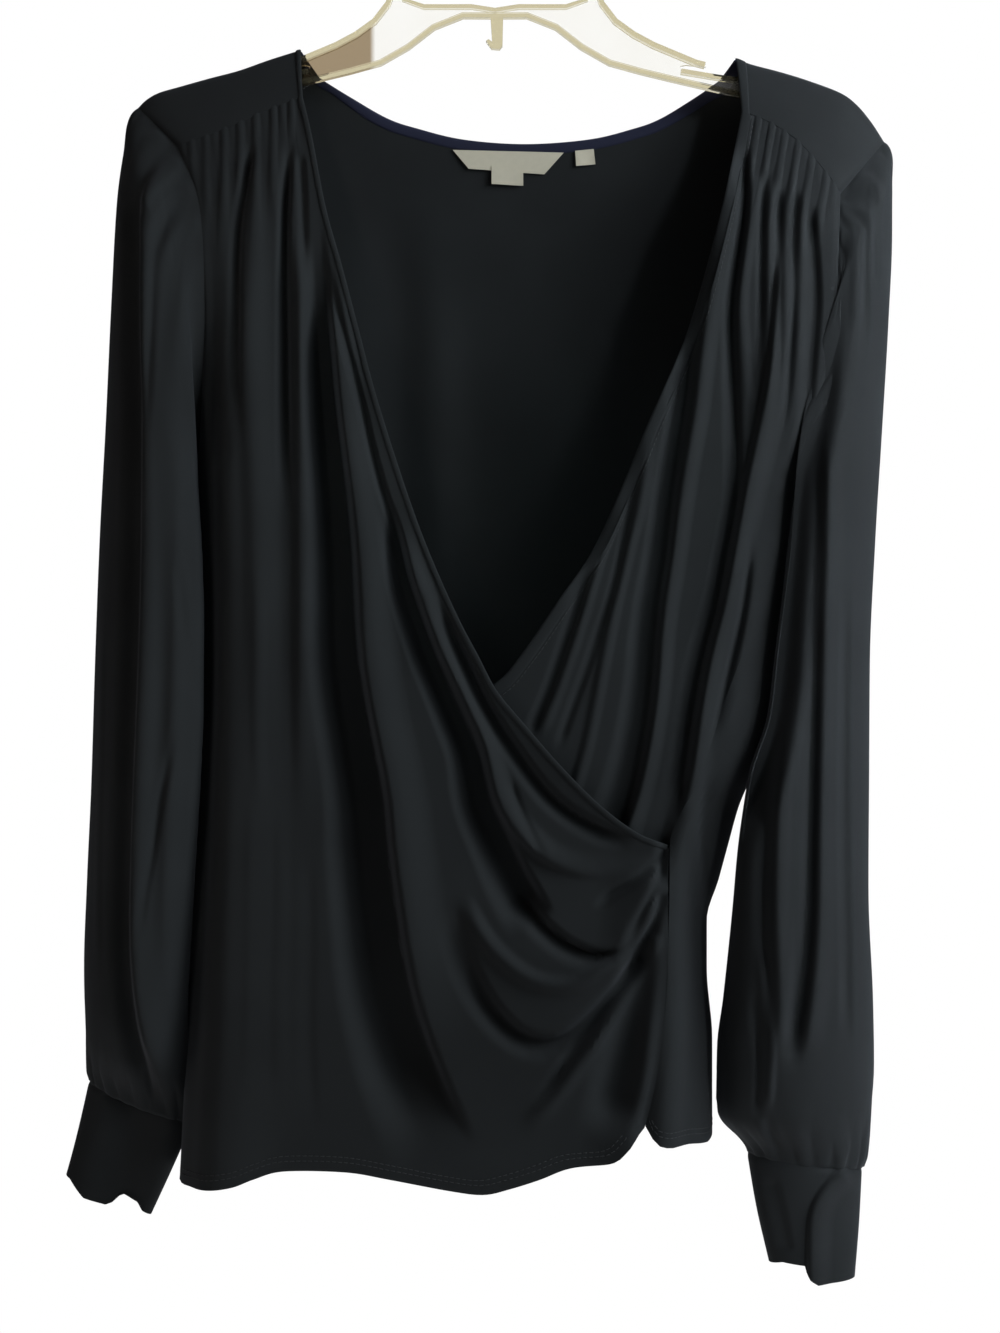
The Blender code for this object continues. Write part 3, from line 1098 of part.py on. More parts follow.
def hanger_hook(material):
    """A bent steel wire: the bend, the neck back to the middle and the stem down to the boss."""
    radius = HOOK_BEND + HOOK_WIRE / 2
    path = []
    for k in range(23):
        angle = math.radians(205 - k * 11.5)
        path.append((radius * math.cos(angle), HOOK_BEND - radius * math.sin(angle)))
    path += [(9.5, 41.0), (4.0, 44.5), (0.8, 49.0), (0.0, 54.0), (0.0, 59.6)]
    line = spline(path, np.linspace(0, 1, 34))
    points = in_space(line[:, 0], np.zeros(len(line)), line[:, 1])
    run = np.gradient(points, axis=0)
    run = run / np.linalg.norm(run, axis=1, keepdims=True)
    side = np.array([0, 1.0, 0])
    sides = 8
    rings = []
    for p, r in zip(points, run):
        other = np.cross(r, side)
        for k in range(sides):
            a = 2 * math.pi * k / sides
            rings.append(p + HOOK_WIRE / 2 * (math.cos(a) * side + math.sin(a) * other))
    faces = []
    for i in range(len(points) - 1):
        for k in range(sides):
            a, b = i * sides + k, i * sides + (k + 1) % sides
            faces.append((a, b, b + sides, a + sides))
    faces.append(tuple(range(sides))[::-1])
    faces.append(tuple((len(points) - 1) * sides + k for k in range(sides)))
    hook = add_mesh("hanger_hook", np.array(rings), faces, material)
    clean(hook)
    return hook


# Materials and assembly ----------------------------------------------------------------------


def finish(name, colour, roughness, metallic=0.0, alpha=1.0):
    material = bpy.data.materials.new(name)
    material.use_nodes = True
    shader = material.node_tree.nodes["Principled BSDF"]
    shader.inputs["Base Color"].default_value = (*colour, 1)
    shader.inputs["Roughness"].default_value = roughness
    shader.inputs["Metallic"].default_value = metallic
    shader.inputs["Alpha"].default_value = alpha
    material.diffuse_color = (*colour, alpha)
    return material


def main():
    for obj in list(bpy.data.objects):
        bpy.data.objects.remove(obj)
    jersey = (0.012, 0.013, 0.016)
    front_over(finish("jersey_over", jersey, 0.62))
    front_under(finish("jersey_under", jersey, 0.62))
    back(finish("jersey_back", jersey, 0.62))
    yoke("yoke_left", LEFT_YOKE, (OVER_BAND + SEAM_GAP / 2) / 97, finish("jersey_yoke_left", jersey, 0.6))
    yoke("yoke_right", RIGHT_YOKE, (UNDER_BAND + SEAM_GAP / 2) / 97, finish("jersey_yoke_right", jersey, 0.6))
    sleeve("sleeve_left", -1, finish("jersey_sleeve_left", jersey, 0.62))
    sleeve("sleeve_right", 1, finish("jersey_sleeve_right", jersey, 0.62))
    cuff("cuff_left", LEFT_CUFF, -1, finish("jersey_cuff_left", jersey, 0.66))
    cuff("cuff_right", RIGHT_CUFF, 1, finish("jersey_cuff_right", jersey, 0.66))
    band("edge_band_over", LEFT_YOKE, OVER_EDGE, OVER_BAND, 1, over_surface, FRONT_ROWS,
         finish("jersey_band_over", jersey, 0.6))
    band("edge_band_under", RIGHT_YOKE, UNDER_EDGE, UNDER_BAND, -1, under_surface, FRONT_ROWS,
         finish("jersey_band_under", jersey, 0.6))
    neck_binding(finish("navy_binding", (0.012, 0.014, 0.035), 0.6))
    satin = (0.62, 0.57, 0.45)
    label("label_main", MAIN_LABEL, 0.0, finish("satin_main", satin, 0.45))
    label("label_lower", LOWER_LABEL, LABEL_WALL + 0.3, finish("satin_lower", satin, 0.45))
    label("label_size", SIZE_LABEL, 0.0, finish("satin_size", satin, 0.45))
    hanger_frame(finish("clear_plastic", (0.80, 0.74, 0.58), 0.12, 0.0, 0.45))
    hanger_hook(finish("steel_hook", (0.62, 0.61, 0.58), 0.25, 1.0))


main()
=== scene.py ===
# %% [markdown]
# # A jersey wrap top on a clear hanger
#
# This lesson dresses a wrap top: two crossed fronts, a back, shoulder yokes, long full sleeves and
# deep cuffs, all in a thin black jersey, hung on a clear plastic hanger. The solids that carry it
# are loaded first and stay where they are. Each cloth solid is then replaced by a finer sheet on
# the same form, with its gathers, creases, hems and stitching.

# %% Load the frame and list its solids
import math

import bmesh
import bpy
import numpy as np
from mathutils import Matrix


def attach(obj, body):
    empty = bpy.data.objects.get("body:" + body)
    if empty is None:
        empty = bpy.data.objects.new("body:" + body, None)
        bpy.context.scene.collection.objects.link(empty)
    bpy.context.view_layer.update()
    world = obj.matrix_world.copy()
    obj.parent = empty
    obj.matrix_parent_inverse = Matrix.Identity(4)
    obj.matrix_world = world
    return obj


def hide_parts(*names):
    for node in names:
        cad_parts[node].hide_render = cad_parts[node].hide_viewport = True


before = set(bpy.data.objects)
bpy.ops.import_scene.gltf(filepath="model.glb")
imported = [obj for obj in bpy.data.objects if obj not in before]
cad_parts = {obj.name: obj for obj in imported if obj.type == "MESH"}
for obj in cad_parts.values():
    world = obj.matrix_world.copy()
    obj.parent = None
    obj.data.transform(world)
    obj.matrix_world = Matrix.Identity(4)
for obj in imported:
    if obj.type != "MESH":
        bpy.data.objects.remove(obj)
bpy.ops.object.select_all(action="DESELECT")
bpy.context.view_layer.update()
print("solids:", ", ".join(sorted(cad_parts)))

# %% [markdown]
# ## Curves and tables
#
# A pattern cutter keeps seam lines as a few measured points and draws a smooth curve through them.
# The same is done here. A table holds the points in millimetres, with x to the right, depth y to
# the back and drop downward from the hook, and two small functions read it smoothly.

# %% A smooth curve through points, and a smooth reading of a table
def spline(points, shares, steps=12):
    """A smooth curve through the points, read at shares of its length."""
    given = np.asarray(points, float)
    padded = np.vstack([2 * given[0] - given[1], given, 2 * given[-1] - given[-2]])
    s = np.linspace(0, 1, steps, endpoint=False)[:, None]
    runs = []
    for a, b, c, d in zip(padded, padded[1:], padded[2:], padded[3:]):
        even = 2 * b + (c - a) * s + (2 * a - 5 * b + 4 * c - d) * s**2
        runs.append(0.5 * (even + (3 * b - a - 3 * c + d) * s**3))
    dense = np.vstack(runs + [given[-1:]])
    length = np.concatenate([[0], np.cumsum(np.linalg.norm(np.diff(dense, axis=0), axis=1))])
    length /= length[-1]
    return np.column_stack([np.interp(shares, length, dense[:, k]) for k in range(given.shape[1])])


def hermite(s, start, leaving, end, arriving):
    """The way from start to end, smooth with the directions given for its two ends."""
    return ((2 * s**3 - 3 * s**2 + 1) * start + (s**3 - 2 * s**2 + s) * leaving
            + (3 * s**2 - 2 * s**3) * end + (s**3 - s**2) * arriving)


def column(rows, at, which):
    """A smooth reading of one column of a table by its first column."""
    xs = np.array([row[0] for row in rows], float)
    ys = np.array([row[which] for row in rows], float)
    rise = np.diff(ys) / np.diff(xs)
    flat = rise[:-1] * rise[1:] <= 0
    safe = np.where(rise[:-1] + rise[1:] == 0, 1, rise[:-1] + rise[1:])
    inner = np.where(flat, 0, 2 * rise[:-1] * rise[1:] / safe)
    slope = np.concatenate([rise[:1], inner, rise[-1:]])
    at = np.clip(np.asarray(at, float), xs[0], xs[-1])
    i = np.clip(np.searchsorted(xs, at) - 1, 0, len(xs) - 2)
    h = xs[i + 1] - xs[i]
    s = (at - xs[i]) / h
    return hermite(s, ys[i], h * slope[i], ys[i + 1], h * slope[i + 1])


def unit(vectors):
    """The same directions, each one long."""
    return vectors / np.maximum(np.linalg.norm(vectors, axis=-1, keepdims=True), 1e-9)


def ease(value):
    """0 below 0, 1 above 1, and a soft rise between."""
    s = np.clip(value, 0, 1)
    return s * s * (3 - 2 * s)

# %% Distance to a line on the cloth
def side_of(x, drop, path):
    """Nearest distance to a path, the share of the path there, and which side (plus is its left)."""
    line = spline(path, np.linspace(0, 1, 28))
    point = np.stack([x, drop], axis=-1)
    best = np.full(x.shape, 1e9)
    share = np.zeros(x.shape)
    side = np.ones(x.shape)
    for k, (a, b) in enumerate(zip(line, line[1:])):
        run = b - a
        t = np.clip(((point - a) @ run) / (run @ run), 0, 1)
        off = point - a - t[..., None] * run
        away = np.hypot(off[..., 0], off[..., 1])
        nearer = away < best
        best = np.where(nearer, away, best)
        share = np.where(nearer, (k + t) / (len(line) - 1), share)
        cross = run[0] * off[..., 1] - run[1] * off[..., 0]
        side = np.where(nearer, np.where(cross >= 0, 1.0, -1.0), side)
    return best, share, side

# %% [markdown]
# ## The body's form
#
# Hung up, the body is a flat tube. Its two sides are creased where the cloth turns, and its middle
# stands forward of them by a few centimetres. The tables give the side lines and the depth of the
# middle, and the functions blend between them, so every panel can ask for the depth of any point.

# %% Side lines and depths of the body
# drop, x of the side line, depth of the cloth there
LEFT_SIDE = ((379, -167, 0.6), (440, -166.5, 0.6), (560, -167.5, 0.6), (680, -171, 0.6), (770, -175, 0.6))
RIGHT_SIDE = (
    (383, 166, 0), (430, 161, 0), (500, 153.5, 0), (540, 144, 0), (562, 135.5, 0), (580, 130.5, 0),
    (602, 124.5, 0), (624, 118, 0), (652, 118, 0), (690, 121, 0), (750, 121, 0),
)
LEFT_FRONT_EDGE = ((196, -175, 15), (230, -162, 26), (285, -158, 32), (335, -160, 27), (366, -164, 11),
                   *LEFT_SIDE)
LEFT_BACK_EDGE = ((192, -180, 15), (228, -164, 25), (280, -158.5, 30), (330, -160, 25), (364, -164, 11),
                  *LEFT_SIDE)
RIGHT_FRONT_EDGE = ((223, 190, 17), (258, 187.5, 28), (284, 185.5, 33), (312, 183, 33), (345, 178, 27),
                    (370, 170.5, 11), *RIGHT_SIDE)
RIGHT_BACK_EDGE = ((212, 203, 15), (245, 190, 25), (284, 185, 30), (312, 182.5, 30), (345, 178, 25),
                   (370, 170.5, 11), *RIGHT_SIDE)
# drop, depth of the middle
FRONT_DEPTH = (
    (138, 0.0), (152, 7.0), (170, 13.0), (196, 19.0), (230, 27.0), (285, 34.0),
    (340, 38.0), (430, 42.0), (560, 45.0), (680, 47.0), (775, 49.0),
)
BACK_DEPTH = (
    (138, 0.0), (152, 11.0), (170, 15.0), (190, 18.0), (230, 23.0), (300, 29.0),
    (400, 34.0), (560, 38.0), (775, 40.0),
)
LEFT_ROUND, RIGHT_ROUND = 52, 42  # how far in from each side line the middle's depth is reached

# %% Plain form of the front and of the back
def full_side(share, power):
    """Rise from 0 at an edge to 1, rounder at the edge with a higher power: 2 is a quarter circle."""
    return np.maximum(1 - (1 - share) ** power, 0) ** (1 / power)


def plain_form(x, drop, depths, left_edge, right_edge, left_shape, right_shape):
    """Depth over the flat tube: each half goes from its side line to the middle in a shape of its own."""
    middle = column(depths, drop, 1)
    halves = []
    for edge, side, width, shape in ((left_edge, 1, LEFT_ROUND, left_shape),
                                     (right_edge, -1, RIGHT_ROUND, right_shape)):
        inward = np.clip(side * (x - column(edge, drop, 1)) / width, 0, 1)
        depth = column(edge, drop, 2)
        halves.append(depth + (middle - depth) * shape(inward))
    return np.minimum(*halves)


def front_base(x, drop):
    """Depth of the front's plain form, minus towards the front. Beside the sleeves it is fuller."""
    beside_sleeve = ease((560 - drop) / 60)
    return -plain_form(x, drop, FRONT_DEPTH, LEFT_FRONT_EDGE, RIGHT_FRONT_EDGE,
                       lambda inward: full_side(inward, 2.8),
                       lambda inward: full_side(inward, 2 + 2.2 * beside_sleeve))


def back_base(x, drop):
    """Depth of the back's plain form."""
    return plain_form(x, drop, BACK_DEPTH, LEFT_BACK_EDGE, RIGHT_BACK_EDGE,
                      lambda inward: np.sin(0.5 * np.pi * inward),
                      lambda inward: full_side(inward, 2))

# %% [markdown]
# ## Where the pieces end
#
# The wrap edges cross in front, the under front is caught into the side seam, and the back reaches
# round the side as a narrow strip. These lines are shared by all the pieces that meet there, so no
# gap can open between them.

# %% Seam lines, edges and hems
# x and drop of every point
LEFT_UNDERARM, RIGHT_UNDERARM = (-167, 379), (166, 383)
OVER_EDGE = (
    (-106.5, 167.5), (-101, 190), (-92.5, 232), (-83.5, 264), (-75, 296), (-65, 334),
    (-51.5, 377), (-38, 415), (-21.5, 453), (-8.5, 478), (1, 496), (15, 513), (35, 536),
    (56, 557), (76, 572), (93, 579),
)
UNDER_EDGE = (
    (136.4, 176), (131, 202), (122, 240), (112, 278), (101, 311), (84, 349), (70, 383),
    (53, 420), (34, 448), (14, 477), (-2, 494), (-50, 525), (-105, 556), (-156, 584),
)
SIDE_ROWS = (RIGHT_UNDERARM[1], 391, 410, 440, 470, 497, 522, 545, 562, 579)
SIDE_SEAM = (RIGHT_UNDERARM, (147, 440), (126, 497), (109, 545), (94, 579), (93, 643), (88, 697), (81, 730))
OVER_HEM = (
    (-175, 764), (-171, 765.5), (-165, 765), (-154, 764), (-140, 761.5), (-129, 757.5), (-113, 753.5),
    (-80, 754), (-56, 758), (-24, 764), (-6, 766), (8, 763), (24, 758), (40, 752), (62, 749), (70, 743),
    (76, 735), (81, 730),
)
UNDER_HEM = ((-170, 752), (-100, 748), (-30, 752), (40, 741), (66, 734), (79, 722))
BACK_HEM = ((-175, 765), (-120, 766), (-30, 768), (60, 762), (105, 750), (121, 745))
STRIP_HEM = ((121, 743), (117, 744.5), (106, 742), (94, 741.5), (86.5, 739.5), (81, 730))
LEFT_YOKE = {
    "front": ((-106.5, 167.5), (-124, 175), (-150, 187), (-175, 196)),
    "ridge": ((-108.5, 138.5), (-126, 144), (-143, 150), (-160, 154.5), (-176, 159), (-188, 162.5),
              (-195, 166.5), (-199.5, 171)),
    "back": ((-99, 151), (-125, 166), (-152, 179.5), (-180, 192)),
}
RIGHT_YOKE = {
    "front": ((136.4, 176), (152, 183), (165, 192), (175, 203), (182, 212), (190, 223)),
    "ridge": ((134.4, 143), (143, 146.5), (160, 151), (176, 156), (193, 162.5), (202, 169),
              (210, 178.5), (217.5, 190)),
    "back": ((126.5, 152.5), (145, 166.5), (165, 182), (185, 197.5), (203, 212)),
}
BACK_NECK = (
    (-99, 151), (-81, 161.5), (-61, 172.5), (-44, 178), (-18, 184), (17, 186.5), (53, 184),
    (77, 178.5), (93, 173), (112, 162), (126.5, 152.5),
)

# %% Armholes and the side seam
def armhole_half(edge, side, underarm):
    """The rows of a side line above the underarm, as x, depth and drop, and the underarm itself."""
    above = [(x, side * depth, drop) for drop, x, depth in edge if drop < underarm[1]]
    return [*above, (underarm[0], 0, underarm[1])]


LEFT_ARMHOLE_FRONT = armhole_half(LEFT_FRONT_EDGE, -1, LEFT_UNDERARM)
LEFT_ARMHOLE_BACK = armhole_half(LEFT_BACK_EDGE, 1, LEFT_UNDERARM)[::-1]
RIGHT_ARMHOLE_FRONT = armhole_half(RIGHT_FRONT_EDGE, -1, RIGHT_UNDERARM)
RIGHT_ARMHOLE_BACK = armhole_half(RIGHT_BACK_EDGE, 1, RIGHT_UNDERARM)[::-1]


def seam_x(drop):
    """x of the side seam under the right sleeve, where both fronts and the back meet."""
    rows = [(d, x) for x, d in SIDE_SEAM]
    return column(rows, drop, 1)

# %% [markdown]
# ## Folds of the fronts
#
# Soft jersey hangs in long folds from the gathers at the yokes, and the lap pulls folds towards the
# side seam. Each fold is one row of a table: a name, its height (minus for a trough), its width to
# the left and to the right at its start and at its end, how quickly it fades at its two ends, and the
# line it follows. A narrow side beside a wide one makes a crease, where cloth has folded over. A
# simulation would find folds of its own, so these are placed one by one where this top has them.

# %% Height of a table's folds and creases at any point
def fade(share, fade_in, fade_out):
    """1 along a fold, falling to 0 over the given shares of its length at its two ends."""
    rise = ease(share / fade_in) if fade_in else 1.0
    fall = ease((1 - share) / fade_out) if fade_out else 1.0
    return rise * fall


def folds_at(x, drop, folds):
    """Sum of even ridges and troughs, each with one half width and a power that makes it sharper."""
    total = np.zeros(np.shape(x))
    for _, high, half, sharp, fade_in, fade_out, path in folds:
        away, share, _ = side_of(x, drop, path)
        shape = (0.5 + 0.5 * np.cos(np.pi * np.clip(away / half, 0, 1))) ** sharp
        total = total + high * shape * fade(share, fade_in, fade_out)
    return total


def creases_at(x, drop, creases):
    """Sum of folds with a width of their own on each side, wider or narrower towards their end.

    A third number on a side is the share of its width that stays level, as the floor of a wide trough does.
    """
    total = np.zeros(np.shape(x))
    for _, high, left, right, fade_in, fade_out, path in creases:
        away, share, side = side_of(x, drop, path)
        left, right = (*left, 0.0)[:3], (*right, 0.0)[:3]
        width = np.where(side > 0, left[0] + (left[1] - left[0]) * share,
                         right[0] + (right[1] - right[0]) * share)
        level = np.where(side > 0, left[2], right[2])
        shape = 0.5 + 0.5 * np.cos(np.pi * np.clip((away / width - level) / (1 - level), 0, 1))
        total = total + high * shape * fade(share, fade_in, fade_out)
    return total

# %% Table of the over front's folds
# name, height, widths left at its start and end, widths right, fade in, fade out, line of x and drop
OVER_FOLDS = (
    ("side_hollow", -8, (8, 9), (7, 8), 0.14, 0.15,
     ((-160.4, 240.1), (-158.2, 264.3), (-157.1, 302), (-157.1, 339.7), (-157.1, 393.5),
      (-155.5, 447.4), (-155.5, 501.2), (-157.1, 555.1), (-159.8, 608.9), (-163.1, 662.8),
      (-165.8, 711.3))),
    ("side_form", 7, (8, 10), (34, 46), 0.16, 0.0,
     ((-149.6, 240.1), (-147.5, 258.9), (-146.9, 302), (-146.9, 382.8), (-145.8, 447.4),
      (-146.4, 501.2), (-148.5, 555.1), (-151.2, 608.9), (-153.9, 662.8), (-156.6, 716.7),
      (-158.8, 765.1))),
    ("first_gather_line", -4.5, (4, 8), (4, 4), 0.12, 0.45,
     ((-130.8, 187.8), (-135.1, 205), (-138.8, 232), (-140.4, 258.9), (-139.9, 285.8), (-139.9, 312.8),
      (-138.8, 339.7), (-135.6, 372))),
    ("second_gather_line", -7.0, (4, 8), (4, 4), 0.22, 0.35,
     ((-111.4, 184.6), (-113.5, 205), (-114.6, 232), (-114.6, 258.9), (-114.1, 285.8), (-113.5, 312.8),
      (-113, 339.7), (-112.4, 366.6), (-111.4, 409.7))),
    ("thin_gather_line", -2.0, (4, 4), (4, 4), 0.1, 0.4,
     ((-107.1, 199.7), (-104.9, 232), (-104.4, 258.9), (-104.4, 285.8))),
    ("chest_ridge", 2.5, (9, 10), (12, 14), 0.1, 0.4,
     ((-131.8, 210.4), (-132.9, 258.9), (-132.9, 302), (-130.8, 350.5), (-128.1, 404.3), (-127, 474.3),
      (-125.9, 555.1))),
    ("inner_ridge", 3.5, (6, 7), (8, 11), 0.1, 0.4,
     ((-106.5, 242.7), (-105.4, 285.8), (-104.9, 339.7), (-104.4, 393.5), (-103.8, 447.4),
      (-103.8, 512), (-102.8, 582))),
    ("great_trough", -19.0, (10, 44, 0.38), (5, 8), 0.25, 0.12,
     ((-97.9, 232), (-94.7, 258.9), (-92.5, 285.8), (-90.4, 312.8), (-88.2, 339.7), (-85, 366.6),
      (-81.7, 393.5), (-79.1, 425.8), (-78, 447.4), (-76.4, 474.3), (-72.1, 501.2), (-66.7, 528.2),
      (-61.8, 555.1), (-59.7, 582), (-55.9, 608.9), (-52.1, 635.9), (-46.7, 662.8), (-38.1, 689.7),
      (-26.8, 716.7), (-13.4, 743.6))),
    ("great_ridge", 6.0, (5, 7), (10, 28), 0.1, 0.2,
     ((-89.8, 269.7), (-85.5, 307.4), (-82.3, 339.7), (-78, 372), (-73.7, 404.3), (-70.4, 442),
      (-68.8, 474.3), (-64, 512), (-57, 544.3), (-53.2, 576.6), (-49.4, 608.9), (-44.6, 641.3),
      (-38.1, 673.6), (-26.8, 705.9))),
    ("edge_line", -3.4, (4, 4.5), (4, 4), 0.2, 0.1,
     ((-92.5, 258.9), (-86.6, 285.8), (-80.1, 312.8), (-73.1, 339.7), (-66.7, 366.6), (-60.7, 388.1),
      (-53.7, 409.7), (-46.2, 436.6))),
    ("lap_trough", -13.0, (10, 24, 0.3), (4.5, 7), 0.15, 0.08,
     ((-58.1, 393.5), (-51.6, 417.8), (-45.7, 442), (-33.8, 474.3), (-26.3, 490.5), (-17.7, 509.3),
      (-9.6, 528.2), (-4.2, 555.1), (5.5, 576.6), (15.7, 598.2), (28.6, 619.7))),
    ("lap_ridge", 5.5, (4, 5), (8, 12), 0.15, 0.25,
     ((-52.7, 404.3), (-44.6, 431.2), (-38.1, 447.4), (-29.5, 474.3), (-20.9, 495.9), (-13.4, 512),
      (-4.7, 530.9), (2.8, 555.1), (14.6, 573.9), (30.8, 587.4), (52.3, 593.9), (72.8, 590.6))),
    ("edge_trough", -6.5, (7, 10), (4, 5), 0.2, 0.12,
     ((-33.8, 445.2), (-18.7, 474.3), (-5.8, 501.2), (9.3, 525.5), (29.7, 552.4), (51.3, 568),
      (75.5, 576.6))),
    ("pleat_line", -7.5, (12, 5.5), (5, 5), 0.15, 0.0,
     ((9.3, 602.5), (28.6, 624), (43.2, 634.8), (57.7, 638.6), (70.1, 633.2), (80.9, 614.3),
      (89, 597.1), (93.3, 585.3))),
    ("upper_pleat", -3.2, (5, 4), (4, 4), 0.25, 0.0,
     ((53.4, 613.3), (62, 605.2), (73.9, 598.2), (83.6, 590.6), (93.3, 582))),
    ("pleat_ridge", 4.5, (9, 5.5), (6, 5), 0.15, 0.05,
     ((-17.7, 603.6), (-9, 622.4), (3.9, 638.6), (21.6, 651), (41.6, 653.1), (59.9, 642.9), (76, 625.1),
      (86.8, 605.2), (92.7, 591.7))),
    ("lower_pleat", -8.0, (14, 6.5), (9, 5.5), 0.3, 0.0,
     ((-23, 608.9), (-17.1, 635.9), (-8, 658.5), (5, 675.7), (20, 685.4), (36.2, 684.3), (52.3, 671.4),
      (68.5, 652), (81.4, 631.6), (90, 607.9))),
    ("hip_ridge", 3.8, (9, 6), (6, 5.5), 0.2, 0.05,
     ((13.6, 732.8), (31.9, 712.3), (50.2, 688.7), (64.2, 667.1), (77.1, 646.6), (87.3, 625.1))),
    ("hip_line", -3.0, (7, 6), (5.5, 5), 0.2, 0.1,
     ((20.6, 722), (30.8, 707), (44.3, 687.6), (59.9, 669.3), (73.9, 651), (85.7, 633.2))),
    ("small_crease", -1.6, (4, 4), (4, 4), 0.2, 0.3,
     ((7.1, 541.6), (12.5, 558.3), (20, 573.9), (28.6, 588.5))),
    ("low_trough", -12.0, (14, 20), (14, 24), 0.3, 0.2,
     ((84.7, 608.9), (78.7, 654.7), (71.2, 684.3), (65.8, 711.3), (62.6, 738.2))),
    ("seam_rise", 9.0, (40, 46), (4, 4), 0.12, 0.0,
     ((94.9, 582), (94.9, 608.9), (96, 641.3), (95.4, 662.8), (93.8, 684.3), (92.2, 716.7), (91.1, 740.9))),
    ("faint_ridge", 0.7, (5, 5), (6, 7), 0.25, 0.3,
     ((-127, 425.8), (-127, 468.9), (-127.5, 512), (-126.4, 565.9))),
    ("faint_ridge_2", 0.5, (5, 6), (6, 8), 0.25, 0.2,
     ((-115.1, 549.7), (-114.6, 608.9), (-115.7, 662.8), (-114.6, 727.4))),
    ("faint_trough", -0.6, (7, 9), (5, 5), 0.25, 0.2,
     ((-100.1, 571.3), (-99, 625.1), (-99.5, 679), (-96.3, 738.2))),
    ("faint_trough_2", -0.5, (8, 9), (5, 5), 0.25, 0.2,
     ((-134, 533.6), (-135.6, 587.4), (-136.1, 652), (-137.8, 716.7))),
)

